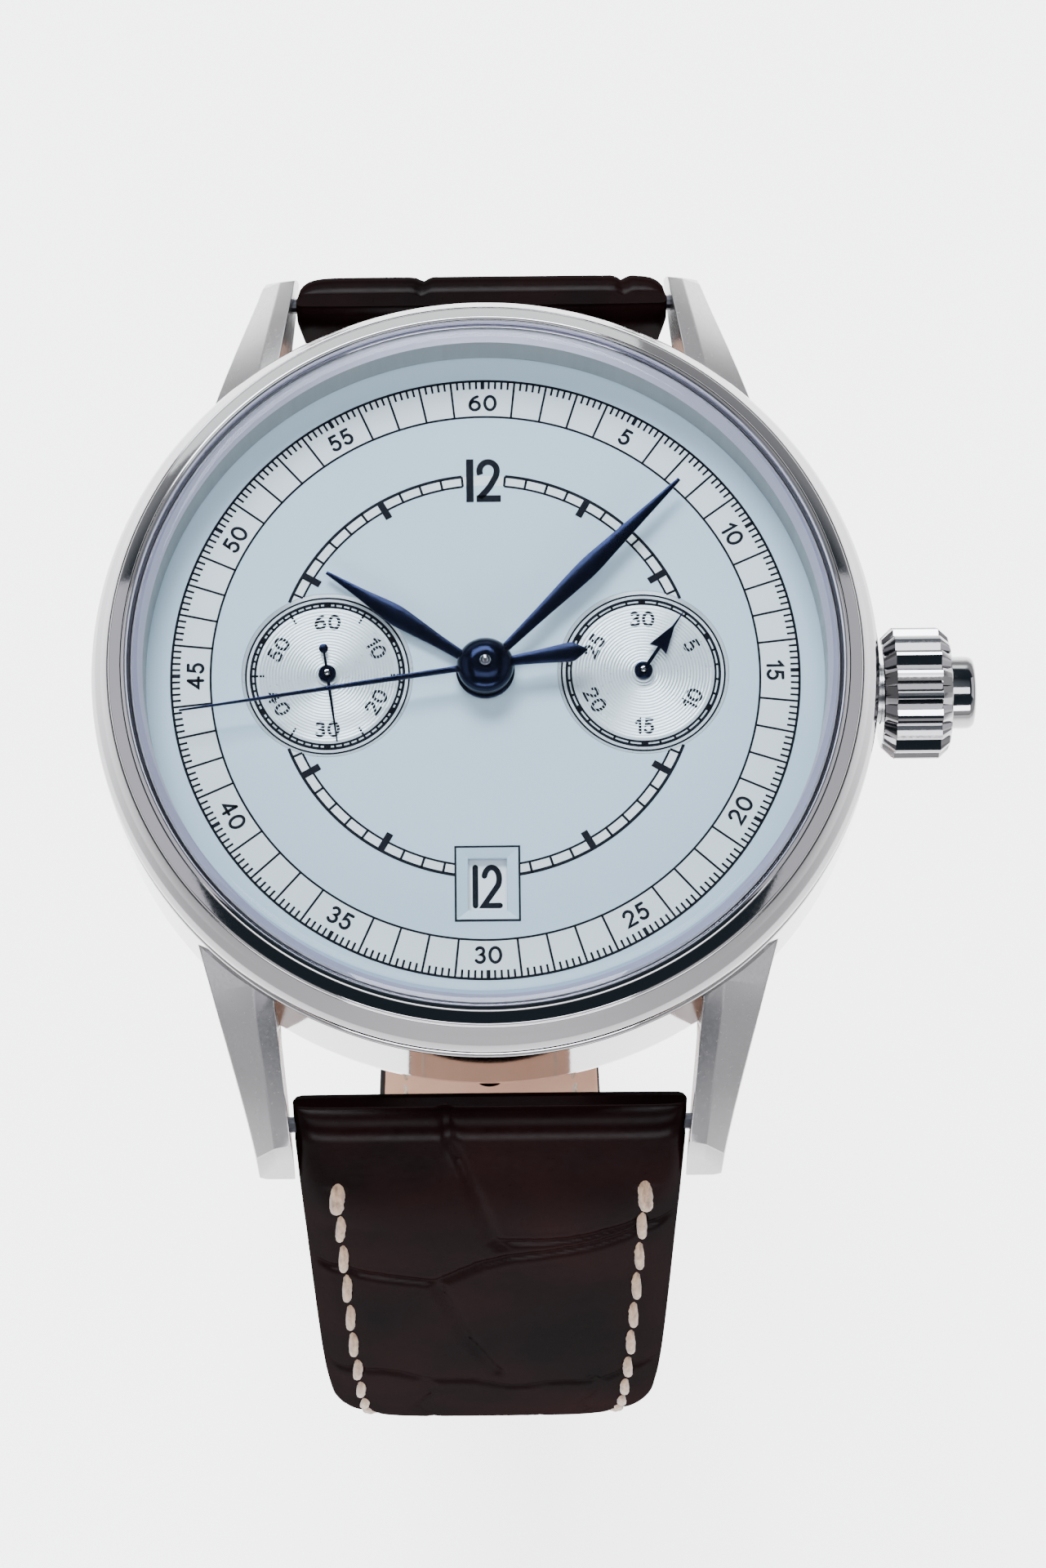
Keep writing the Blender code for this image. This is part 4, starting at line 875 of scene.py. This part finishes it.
def build_crystal():
    top, rim = 14.05, (17.45, 13.62)
    dome = [(0, top)] + [(r, top - 0.40 * (r / rim[0]) ** 2) for r in (2, 4, 6, 8, 10, 12, 14, 16, 17)]
    crystal = lathe(bmesh.new(), dome + [rim], FINE_ROUND)
    edge = [(0, 12.75), (17.96, 12.75), (18.0, 12.78), (18.0, 13.18), (17.96, 13.24), rim]
    lathe(crystal, edge, FINE_ROUND, material=1)
    bmesh.ops.remove_doubles(crystal, verts=crystal.verts, dist=1e-4)
    for face in crystal.faces:
        if face.material_index and max(v.co.z for v in face.verts) < 12.8:
            face.material_index = 0
    stand_in("crystal", crystal, CRYSTAL, EDGE_GLASS)
    seal = eased(collar(18.05, 18.35, 12.75, 13.03), 0.05)
    stand_in("crystal_gasket", lathe(bmesh.new(), seal, FINE_ROUND), SEAL)


def build_case_back():
    back = [
        (18.5, 1.95), (18.5, 0.6), (17.7, 0), (14.05, 0), (14.05, 1.2), (14.85, 1.2), (14.85, 1.95),
        (16.8, 1.95), (16.8, 3.1), (17.25, 3.1), (17.25, 1.95),
    ]
    ring = stand_in("case_back_ring", lathe(bmesh.new(), eased(back, 0.12)), SATIN)
    notches = bmesh.new()
    for i in range(6):
        degrees = 60 * i + 30
        place = at(*clock(17.9, degrees), 0, spun(-degrees))
        plate(notches, [rectangle(2.4, 1.1, 0)], -0.5, 0.45, 0.05, place)
    boolean(ring, notches)
    window = [(0, 1.95), (14.8, 1.95), (14.8, 1.25), (14.0, 1.25), (14.0, 0.02), (13.8, 0), (0, 0)]
    stand_in("case_back_window", lathe(bmesh.new(), window), BACK_GLASS)


def build_crown():
    """V flutes between two bevelled shoulders, with the push-piece's seat in the middle, and the tube."""
    flutes, across = 18, 8
    levels = (
        (20.45, 2.72, 2.68), (20.45 + 0.05, 2.86, 2.72), (20.45 + 0.64, 3.43, 2.98),
        (23.41, 3.43, 2.98), (23.9, 2.97, 2.84), (23.96, 2.88, 2.80),
    )
    bm = bmesh.new()
    rings = []
    for x, tip, root in levels:
        ring = []
        for i in range(flutes * across):
            phase = (i % across) / across
            valley = max(0.0, 1 - abs(phase - 0.5) / 0.40)
            radius = tip - (tip - root) * valley
            angle = 2 * pi * (i / across - 0.5) / flutes
            ring.append((x, radius * cos(angle), radius * sin(angle) + STEM_Z))
        rings.append(ring)
    loft(bm, rings)
    crown = stand_in("crown", bm, STEEL, smooth=14)
    stem = at(0, 0, STEM_Z, ALONG_X)
    bores = [(0, 25), (1.97, 25), (1.93, 23.9), (1.925, 22.3), (0.3, 22.3), (0.3, 22.0), (1.6, 22.0),
             (1.6, 20), (0, 20)]
    boolean(crown, lathe(bmesh.new(), bores, 64, stem))
    push = [(0, 25.3), (1.45, 25.3), (1.70, 25.24), (1.82, 25.12), (1.875, 24.9), (1.875, 23.4), (0.2, 23.4),
            (0.2, 9.9), (0, 9.9)]
    stand_in("push_piece", lathe(bmesh.new(), push, 96, stem), STEEL, smooth=40)
    tube = eased(collar(1.0, 1.5, 18.0, 21.9), 0.06)
    stand_in("crown_tube", lathe(bmesh.new(), tube, 64, stem), SATIN)


# Movement, seen through the case-back window ----


def bevelled(node, outlines, low, high, ease, place=Matrix(), extra=None):
    """A striped movement part whose sloping edges are polished."""
    bm = plate(bmesh.new(), outlines, low, high, ease, place)
    bm.normal_update()
    for face in bm.faces:
        face.material_index = 1 if 0.2 < abs(face.normal.z) < 0.95 else 0
    for profile, spot in extra or ():
        lathe(bm, profile, 32, at(*spot, 0), material=1)
    return stand_in(node, bm, RHODIUM, STEEL, smooth=20)


def train_bridge_outline(radius, window, half):
    """The bridge's half disc, with a bay round the balance and a step clear of the winding stem."""
    turn = 180 / pi * atan2(BALANCE_AT[1], BALANCE_AT[0]) + 360
    mouth = 180 / pi * atan2(half, radius)
    inside = 180 / pi * atan2(half, (window**2 - half**2) ** 0.5)
    flank = bend(0, 0, radius, radius, 177.1, turn - mouth, 36)
    bay = bend(*BALANCE_AT, window, window, turn - inside, turn - 360 + inside, 48)
    far = bend(0, 0, radius, radius, turn + mouth, 353.0, 60)
    return flank + bay + far + [(7.4, -1.8), (7.4, 0.75)]


def build_movement():
    low, high = levels_of("barrel_bridge")
    outline = bend(0, 0, MOVEMENT_R, MOVEMENT_R, 3.9, 176.1, 80)
    bevelled("barrel_bridge", [outline, circle(1.0, 40, BARREL_AT)], low, high, 0.12)
    bevelled("train_bridge", [train_bridge_outline(MOVEMENT_R, 3.6, 1.9)], low, high, 0.12)

    turn = atan2(BALANCE_AT[1], BALANCE_AT[0])
    foot = [(1.0, 1.7), (1.7, 2.6), (1.7, 14.5 - hypot(*BALANCE_AT))]
    cock = bend(0, 0, 1.3, 1.3, 140, 400) + mirrored(foot)
    place = at(*BALANCE_AT, 0, Matrix.Rotation(turn - pi / 2, 4, "Z"))
    bevelled("balance_cock", [cock], low, high, 0.1, place)

    auto_low, auto_high = levels_of("automatic_bridge")[0], 3.95
    bar = eased(mirrored([(1.4, -12.4), (2.2, -3), (2.2, 3), (1.4, 12.4)]), 0.5)
    post = rod(0.9, low - 0.02, 3.6)
    posts = ((post, (0, 11.4)), (post, (0, -11.4)))
    bevelled("automatic_bridge", [bar], auto_low, auto_high, 0.1, extra=posts)

    jewels = bmesh.new()
    pivots = (((-4.261, -1.283), 0.62), ((-8.05, -0.02), 0.5), ((-8.701, -3.693), 0.5), (BALANCE_AT, 0.6))
    for spot, size in pivots:
        steps = ((0.1, 0.02), (0.16, -0.03), (size * 0.7, -0.06), (size, -0.01), (size, 0.2), (0.1, 0.2))
        lathe(jewels, [(radius, low + rise) for radius, rise in steps], 32, at(*spot, 0))
    piece("jewels", jewels, "head", RUBY, smooth=40, slot="gilt_brass")
    for i, spot in enumerate(((-10.4, 8.2), (9.6, 9.6), (-12.6, -3.4), (3.4, -12.6))):
        head = [(0, 4.6), (0.58, 4.6), (0.68, 4.66), (0.7, 4.83), (0.3, 4.83), (0.3, 5.3), (0, 5.3)]
        screw = stand_in(f"bridge_screw_{i + 1}", lathe(bmesh.new(), head, 40, at(*spot, 0)), BLUED)
        place = at(*spot, 0, spun(25 + 70 * i))
        boolean(screw, plate(bmesh.new(), [rectangle(1.6, 0.2, 0)], 4.4, 4.72, 0.005, place))


def build_rotor():
    low, high = levels_of("rotor")
    web = bend(0, 0, 14.3, 14.3, -180, 0, 72) + bend(0, 0, 2.6, 2.6, 0, 180, 24)
    windows = [
        bend(0, 0, 11.2, 11.2, start + 5, start + 41, 16) + bend(0, 0, 4.4, 4.4, start + 34, start + 12, 10)
        for start in (-157, -113, -69)
    ]
    bm = plate(bmesh.new(), [web, circle(1.66, 48), *windows], 2.95, high, 0.06)
    rim = bend(0, 0, 14.4, 14.4, -179.4, -0.6, 96) + bend(0, 0, 11.6, 11.6, -0.6, -179.4, 80)
    plate(bm, [rim], low, high, 0.18, material=1)
    stand_in("rotor", bm, ROTOR_FACE, GILT, smooth=20)


# Strap ----


def strap_width(run):
    taper = STRAP_END_WIDTH + (STRAP_WIDTH - STRAP_END_WIDTH) * min(1, max(0, 1 - run / TAPER_LENGTH))
    return taper + 0.14 * exp(-max(0, run / 2.5) ** 2)


def strap_thickness(run, length):
    share = min(1, max(0, run) / 9)
    pad = ROLL_THICK + (STRAP_THICK - ROLL_THICK) * share * share * (3 - 2 * share)
    return pad + (STRAP_END_THICK - STRAP_THICK) * max(0, run - 7) / (length - 7)


class StrapLine:
    """A strap piece's centre line, with its place and directions at any distance along it."""

    def __init__(self, points, end):
        self.end = end
        self.line = smooth_line(points, 24)
        self.runs = [0.0]
        for near, far in zip(self.line, self.line[1:]):
            self.runs.append(self.runs[-1] + (far - near).length)
        self.length = self.runs[-1]

    def place(self, run):
        """Middle of the section, the way ahead and the way out of the outer side, as 3-D vectors."""
        clipped = min(max(run, 0), self.length)
        i = next(k for k, r in enumerate(self.runs) if r >= clipped)
        i = max(i, 1)
        share = (run - self.runs[i - 1]) / (self.runs[i] - self.runs[i - 1])
        middle = self.line[i - 1] + (self.line[i] - self.line[i - 1]) * share
        low, high = max(i - 2, 0), min(i + 1, len(self.line) - 1)
        ahead = (self.line[high] - self.line[low]).normalized()
        point = Vector((0, self.end * middle.x, middle.y))
        along = Vector((0, self.end * ahead.x, ahead.y))
        out = Vector((0, -self.end * ahead.y, ahead.x))
        return point, along, out


# Furrows of the scale pattern: (distance across, distance along) points of each one
CREASES_6 = (
    ((-2.3, -1.6), (-2.05, -0.1), (-1.5, 1.3), (-0.65, 3.7), (0.15, 7.0), (0.5, 7.6)),
    ((-9.4, 10.2), (-6.9, 10.4), (-4.8, 10.8), (-2.9, 11.2), (-0.6, 9.4), (0.9, 8.7), (2.9, 8.3),
     (5.1, 7.6), (7.5, 6.5), (9.4, 5.9)),
    ((0.15, 7.1), (2.6, 7.2), (4.3, 7.0), (6.8, 6.1), (7.6, 5.7)),
    ((-2.9, 11.2), (-2.2, 13.5), (-1.2, 17.5), (0.3, 21.0)),
)
CREASES_12 = (
    ((-3.2, -1.6), (-3.0, 1.0), (-2.4, 4.0), (-2.6, 8.0)),
    ((7.6, -1.6), (7.4, 1.0), (7.9, 4.0), (7.3, 8.0)),
    ((-9.4, 8.6), (-5.0, 8.0), (-2.6, 8.1), (2.0, 7.2), (7.3, 7.9), (9.4, 8.2)),
)


def repeated_creases(first, last, seed):
    """Rows of large scales: a wavering furrow across at every row, and upright ones between the rows."""
    rows = []
    for k in range(int((last - first) / SCALE_PITCH) + 1):
        run = first + SCALE_PITCH * k
        wave = [0.9 * sin(0.35 * x + 1.7 * k + seed) + 0.3 * sin(1.4 * x + k) for x in range(-9, 10)]
        rows.append([(x, run + sway) for x, sway in zip(range(-9, 10), wave)])
        for j in (0, 1):
            x = (2.6 if (k + j) % 2 else -3.1) + (3.6 if j else -0.8) * sin(2.3 * k + seed)
            rows.append([(x + 0.5 * sin(0.9 * step + k), run + step) for step in range(9)])
    return rows


def crease_segments(lines):
    return [(Vector(a), Vector(b)) for line in lines for a, b in zip(line, line[1:])]


def crease_depth(x, run, near):
    """How deep a furrow is here: a narrow cut with softly sunken sides and a faint lip."""
    place = Vector((x, run))
    gap = 9.0
    for start, end in near:
        along = end - start
        share = min(1.0, max(0.0, (place - start).dot(along) / along.length_squared))
        gap = min(gap, (place - start - along * share).length)
    cut = 0.17 * exp(-((gap / 0.23) ** 2)) + 0.06 * exp(-((gap / 0.7) ** 2))
    cut -= 0.03 * exp(-(((gap - 0.6) / 0.2) ** 2))
    wrinkle = 0.07 * exp(-(gap / 0.9) ** 2) * max(0.0, noise.noise(Vector((x * 3.4, run * 0.7, 4.0))))
    return cut + wrinkle


def top_height(x, run, half, thick, near):
    share = min(1.0, abs(x) / half)
    square = 5 + 13 * max(0, 1 - max(0, run) / 6)
    height = thick * (0.05 + 0.45 * max(0.0, 1 - share**square) ** 0.5)
    furrow = exp(-(((half - abs(x) - STITCH_IN) / 0.42) ** 2)) * (0.14 if run > 3 else 0)
    fade = min(1.0, max(0.0, (half - abs(x)) / 0.8))
    return height - furrow - (crease_depth(x, run, near) * fade if near else 0)


def strap_runs(length, nose, far):
    """Where the sections are: round the roll, closely where the strap shows most, then further apart."""
    seen = 24.0
    runs = [-nose * sin(radians(a)) for a in range(88, 0, -6)]
    runs += [0.17 * i for i in range(int(seen / 0.17))]
    coarse = ceil((length - seen) / 0.33)
    runs += [seen + (length - seen) * i / coarse for i in range(coarse + 1)]
    if far:
        runs += [length + far * sin(radians(a)) for a in range(10, 90, 12)]
    return runs


def strap_size(run, length, nose, far, tip_length):
    """Half width and thickness of a section, which closes at the roll and at the tip or the far roll."""
    width = strap_width(run)
    thick = strap_thickness(run, length)
    left = length - run
    if run < 0:
        thick *= max(0.05, 1 - (run / nose) ** 2) ** 0.5
    if tip_length and left < tip_length:
        width *= max(0.3, (1 - (1 - left / tip_length) ** 2) ** 0.5)
        thick *= min(1.0, 0.45 + 0.55 * max(0, left) / 1.2)
    if far and left < 0:
        thick = 2 * far * max(0.05, 1 - (left / far) ** 2) ** 0.5
    return width / 2, thick


def strap_section(run, half, thick, segments):
    """The outline of a section: crowned top, painted edge, flat lining, painted edge."""
    near = [(a, b) for a, b in segments if min(a.y, b.y) - 1.2 < run < max(a.y, b.y) + 1.2]
    ring = []
    for i in range(TOP_COLUMNS + 1):
        x = -half * cos(pi * i / TOP_COLUMNS) * 0.2 + half * (2 * i / TOP_COLUMNS - 1) * 0.8
        ring.append((x, top_height(x, run, half, thick, near)))
    ring += [(half + 0.02, -0.1 * thick), (half, -0.3 * thick), (half - 0.15, -0.44 * thick)]
    for i in range(LINING_COLUMNS + 1):
        x = (half - 0.4) * (1 - 2 * i / LINING_COLUMNS)
        ring.append((x, -0.5 * thick + 0.03 * abs(x / half) ** 6))
    return ring + [(-half + 0.15, -0.44 * thick), (-half, -0.3 * thick), (-half - 0.02, -0.1 * thick)]


def strap_mesh(line, tip_length, creases):
    """A strap piece: alligator outside and round the roll, painted edges, calf lining."""
    segments = crease_segments(creases)
    nose = strap_thickness(0, line.length) / 2
    far = 0 if tip_length else strap_thickness(line.length, line.length) / 2 + 0.15
    runs = strap_runs(line.length, nose, far)
    bm = bmesh.new()
    rows = []
    for run in runs:
        middle, _, out = line.place(run)
        ring = strap_section(run, *strap_size(run, line.length, nose, far, tip_length), segments)
        rows.append([bm.verts.new(middle + Vector((x, 0, 0)) + out * rise) for x, rise in ring])
    count = len(rows[0])
    first_lining = TOP_COLUMNS + 3
    wrapped = next(k for k, run in enumerate(runs) if run > WRAP_LENGTH)
    for k, (near_row, far_row) in enumerate(zip(rows, rows[1:])):
        for i in range(count):
            j = (i + 1) % count
            face = bm.faces.new((near_row[i], near_row[j], far_row[j], far_row[i]))
            lining = first_lining <= i <= first_lining + LINING_COLUMNS
            outer = i < TOP_COLUMNS or k < wrapped
            face.material_index = 0 if outer else (1 if lining else 2)
    for row in (rows[0], rows[-1]):
        bm.faces.new(row).material_index = 0 if row is rows[0] else 2
    return bm


def stitch(bm, middle, along, out, length, radius):
    """One stitch: a short, slightly bowed capsule of thread."""
    side = along.cross(out).normalized()
    rows = []
    for share in (-1.0, -0.93, -0.75, -0.4, 0.0, 0.4, 0.75, 0.93, 1.0):
        size = radius * max(0.12, (1 - abs(share) ** 4) ** 0.5)
        centre = middle + along * (share * length / 2) - out * (0.5 * radius * share**2)
        row = []
        for i in range(8):
            a = 2 * pi * i / 8 + share * 0.9
            row.append(bm.verts.new(centre + side * (size * cos(a)) + out * (size * 0.8 * sin(a))))
        rows.append(row)
    skin(bm, zip(rows, rows[1:]))
    bm.faces.new(rows[0])
    bm.faces.new(rows[-1])


def build_stitching(name, line, body, last, seed):
    bm = bmesh.new()
    count = int((last - 4.9) / STITCH_PITCH)
    for side in (-1, 1):
        for i in range(-1, count):
            first = i < 0
            run = FIRST_STITCH if first else SECOND_STITCH + i * STITCH_PITCH
            middle, along, out = line.place(run)
            half = strap_width(run) / 2
            thick = strap_thickness(run, line.length)
            wobble = 0.07 * noise.noise(Vector((run * 0.9, side, seed)))
            x = side * (half - STITCH_IN + wobble)
            height = top_height(x, run, half, thick, None)
            length, radius = (2.8, 0.4) if first else (STITCH_PITCH - 0.08, 0.27)
            sway = (along + Vector((side * 0.05 + wobble, 0, 0))).normalized()
            stitch(bm, middle + Vector((x, 0, 0)) + out * (height + 0.06), sway, out, length, radius)
            if not first:
                stitch(bm, middle + Vector((x, 0, 0)) - out * (thick / 2 - 0.04), sway, -out, length, 0.2)
    return piece(name, bm, body, THREAD, smooth=60, slot="alligator")


def build_straps():
    twelve = StrapLine(STRAP_12_LINE, 1)
    six = StrapLine(STRAP_6_LINE, -1)
    looks = (ALLIGATOR, LINING, EDGE_PAINT)
    bm = strap_mesh(twelve, 0, [*CREASES_12, *repeated_creases(16, 70, 2.2)])
    piece_12 = stand_in("strap_12", bm, *looks, smooth=50)
    bm = strap_mesh(six, 7.0, [*CREASES_6, *repeated_creases(22, 106, 0.9)])
    piece_6 = stand_in("strap_6", bm, *looks, smooth=50)
    cuts = lathe(bmesh.new(), rod(0.8, 0, 22), 32, at(-11, BAR_Y, BAR_Z, ALONG_X))
    lathe(cuts, rod(0.62, 0, 22), 32, at(-11, *BUCKLE_AT, ALONG_X))
    boolean(piece_12, cuts)
    slot = bmesh.new()
    ends = bend(0, 4, 1.4, 1.4, 0, 180) + [(-1.4, -2.4), (1.4, -2.4)]
    plate(slot, [ends], -3, 3, 0.01, buckle_matrix())
    boolean(piece_12, slot)
    cuts = lathe(bmesh.new(), rod(0.8, 0, 22), 32, at(-11, -BAR_Y, BAR_Z, ALONG_X))
    for i in range(HOLE_COUNT):
        middle, _, out = six.place(FIRST_HOLE + HOLE_PITCH * i)
        turn = Vector((0, 0, 1)).rotation_difference(out).to_matrix().to_4x4()
        lathe(cuts, rod(0.9, -4, 4), 32, Matrix.Translation(middle) @ turn)
    boolean(piece_6, cuts)
    build_stitching("stitching_12", twelve, body_of("strap_12"), twelve.length - 4, 2.2)
    build_stitching("stitching_6", six, body_of("strap_6"), six.length - 4, 0.9)


def buckle_matrix(run=0.0):
    """Local X across the strap, Y along it towards its end and Z outwards, from the buckle's bar."""
    along = Vector((0, cos(BUCKLE_LEAN), sin(BUCKLE_LEAN)))
    outward = Vector((1, 0, 0)).cross(along)
    place = Vector((0, *BUCKLE_AT)) + along * run
    basis = Matrix((Vector((1, 0, 0)), along, outward)).transposed().to_4x4()
    return Matrix.Translation(place) @ basis


def build_buckle():
    corner = [(9.8, 8.2), (9.2, 10.2), (7.3, 11.2)]
    inner = [(8.2, 8.0), (7.9, 8.9), (7.0, 9.4)]
    right = [(8.2, -1.3), (9.8, -1.3)] + corner
    outline = mirrored(right) + [(-x, y) for x, y in inner] + inner[::-1]
    bm = plate(bmesh.new(), [eased(outline, 0.6, steps=5)], -0.95, 0.95, 0.28, buckle_matrix())
    frame_piece = stand_in("buckle_frame", bm, STEEL, smooth=40)
    boolean(frame_piece, lathe(bmesh.new(), rod(0.45, 0, 18.8), 32, at(-9.4, *BUCKLE_AT, ALONG_X)))
    bar = [(0, 9.3), (0.4, 9.3), (0.4, 8.1), (0.56, 8.05)]
    bar += [(radius, -along) for radius, along in reversed(bar)]
    stand_in("buckle_bar", lathe(bmesh.new(), bar, 32, at(0, *BUCKLE_AT, ALONG_X)), STEEL)
    eye = bend(0, 0, 1.25, 1.25, 30, 330, 30)
    arm = smooth_line([(1.6, -0.62), (3.0, 0.1), (6.0, 0.75), (8.8, 1.02)], 5)
    arm += [(12.2, 1.02), (12.2, 1.5), (9.0, 1.95)]
    arm += smooth_line([(8.6, 1.95), (5.6, 1.75), (3.0, 1.3), (1.5, 0.75)], 5)
    sideways = Matrix(((0, 0, 1, 0), (1, 0, 0, 0), (0, 1, 0, 0), (0, 0, 0, 1)))
    bm = plate(bmesh.new(), [eye + arm, circle(0.62, 32)], -1.0, 1.0, 0.12, buckle_matrix() @ sideways)
    stand_in("buckle_tongue", bm, STEEL, smooth=40)


def build_keepers():
    upright = Matrix(((1, 0, 0, 0), (0, 0, -1, 0), (0, 1, 0, 0), (0, 0, 0, 1)))
    for name, run in (("keeper_fixed", -9.0), ("keeper_free", -18.0)):
        thick = STRAP_END_THICK + 0.5
        low, high = -thick / 2 - 0.3, thick / 2 + STRAP_END_THICK + 0.3
        half, wall = STRAP_END_WIDTH / 2 + 0.6, 1.1
        outlines = []
        for more, ease in ((wall, 1.5), (0, 0.9)):
            x, bottom, top = half + more, low - more, high + more
            outlines.append(eased([(-x, bottom), (x, bottom), (x, top), (-x, top)], ease, steps=6))
        bm = plate(bmesh.new(), outlines, -2.5, 2.5, 0.25, buckle_matrix(run) @ upright)
        stand_in(name, bm, ALLIGATOR, smooth=50)


# Light, floor and camera ----


def pale_floor():
    """A glowing floor with a painted pool of light: white and bright round the watch, its glow and its
    colour falling off evenly to a grey far from it.
    """
    made, tree, shader = surface("pale_floor", 0.0, Roughness=0.85, Emission_Strength=3.0)
    distance = add(tree, "VectorMath")
    distance.operation = "LENGTH"
    span = add(tree, "MapRange", From_Min=0.11, From_Max=0.42)
    span.interpolation_type = "SMOOTHSTEP"
    tree.links.new(own_place(tree), distance.inputs[0])
    tree.links.new(distance.outputs["Value"], span.inputs["Value"])
    # Painted falloff: the floor's colour darkens away from the watch, as part of the painted pool of light.
    painted_falloff_albedo = ramp(tree, span.outputs["Result"], ((0.0, (0.93, 0.93, 0.94)), (1.0, (0.55, 0.54, 0.53))))
    tree.links.new(painted_falloff_albedo, shader.inputs["Base Color"])
    # Painted glow: the floor gives off light of its own, strongest round the watch, though it is no lamp.
    painted_glow = ramp(tree, span.outputs["Result"], ((0.0, (1.0, 1.0, 1.0)), (1.0, (0.07, 0.066, 0.062))))
    tree.links.new(painted_glow, shader.inputs["Emission Color"])
    return made


def build_stage():
    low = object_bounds()[0][2]
    bm = bmesh.new()
    bmesh.ops.create_grid(bm, x_segments=8, y_segments=8, size=3.0)
    mesh = bpy.data.meshes.new("floor")
    bm.to_mesh(mesh)
    bm.free()
    floor_obj = bpy.data.objects.new("floor", mesh)
    floor_obj.location = (0, 0.035, low - 0.0006)
    bpy.context.scene.collection.objects.link(floor_obj)
    mesh.materials.append(pale_floor())

    world = bpy.data.worlds.new("studio")
    bpy.context.scene.world = world
    world.use_nodes = True
    tree = world.node_tree
    axes = add(tree, "SeparateXYZ")
    tree.links.new(add(tree, "TexCoord").outputs["Generated"], axes.inputs["Vector"])
    sky = ramp(tree, axes.outputs["Z"], (
        (0.0, (0.5, 0.5, 0.51)), (0.22, (0.5, 0.5, 0.51)), (0.38, (0.35, 0.36, 0.38)),
        (0.46, (0.03, 0.045, 0.055)), (0.85, (0.02, 0.03, 0.04)), (1.0, (0.2, 0.22, 0.25)),
    ))
    tree.links.new(sky, tree.nodes["Background"].inputs["Color"])
    tree.nodes["Background"].inputs["Strength"].default_value = 1.5


def area_light(name, place, size, watts, colour, target=(0, 0, 0)):
    data = bpy.data.lights.new(name, "AREA")
    data.shape = "RECTANGLE"
    data.size, data.size_y = size
    data.energy = watts
    data.color = colour
    obj = bpy.data.objects.new(name, data)
    obj.location = place
    obj.rotation_euler = (Vector(target) - Vector(place)).to_track_quat("-Z", "Y").to_euler()
    bpy.context.scene.collection.objects.link(obj)


def build_lights():
    area_light("key", (-0.12, 0.58, 0.69), (0.55, 0.32), 13.0, (0.92, 0.96, 1.0))
    area_light("overhead", (0.0, -0.19, 0.98), (0.9, 0.34), 5.5, (0.96, 0.98, 1.0))
    area_light("back_window", (-0.2, 0.95, 0.3), (1.1, 0.25), 2.2, (0.92, 1.0, 0.97))
    area_light("left_window", (-0.8, 0.05, 0.52), (0.9, 0.45), 2.0, (0.93, 0.92, 1.0))
    area_light("right_window", (0.8, 0.05, 0.52), (0.9, 0.45), 1.7, (0.96, 0.95, 1.0))
    area_light("front_strip", (0.0, -0.9, 0.34), (1.0, 0.3), 12.0, (0.97, 0.96, 1.0))


def build_camera():
    """The viewing angle: 18 degrees off the dial's normal, from the 6 o'clock side."""
    tilt, distance, roll = radians(18), 210.2 * MM, radians(-0.6)
    data = bpy.data.cameras.new("camera")
    data.lens = 94.74
    data.shift_x, data.shift_y = 0.024, -0.0707
    data.clip_start, data.clip_end = 0.01, 20
    obj = bpy.data.objects.new("camera", data)
    obj.location = (0, -distance * sin(tilt), DIAL_Z * MM + distance * cos(tilt))
    obj.rotation_euler = (Matrix.Rotation(tilt, 4, "X") @ Matrix.Rotation(roll, 4, "Z")).to_euler()
    bpy.context.scene.collection.objects.link(obj)
    bpy.context.scene.camera = obj


def dress_plain_nodes():
    """CAD nodes whose own shape is right get their finish here."""
    finishes = {
        "gilt_brass": GILT, "polished_steel": STEEL, "brushed_steel": SATIN, "blued_steel": BLUED,
        "rhodium": RHODIUM, "black_rubber": RUBBER, "white_seal": SEAL,
    }
    for name, obj in frame["nodes"].items():
        if obj.hide_render:
            continue
        # The spring bars take painted shade: near-black steel where the gap between lug and strap roll lies
        # in shadow.
        look = SPRING_BAR_SHADE if name.startswith("spring_bar") else finishes.get(slot_of(name), SATIN)
        obj.data.materials.clear()
        obj.data.materials.append(PLATE if name == "main_plate" else look)


build_camera()
build_stage()
build_lights()
build_dial()
build_seconds_scale()
build_hour_ring()
build_subdial("small_seconds_subdial", -1, 60, 10, ("60", "10", "20", "30", "40", "50"))
build_subdial("minute_counter_subdial", 1, 30, 5, ("30", "5", "10", "15", "20", "25"))
build_date_disc()
build_hands()
build_arbor_caps()
build_case()
build_bezel()
build_crystal()
build_case_back()
build_crown()
build_movement()
build_rotor()
build_straps()
build_buckle()
build_keepers()
dress_plain_nodes()
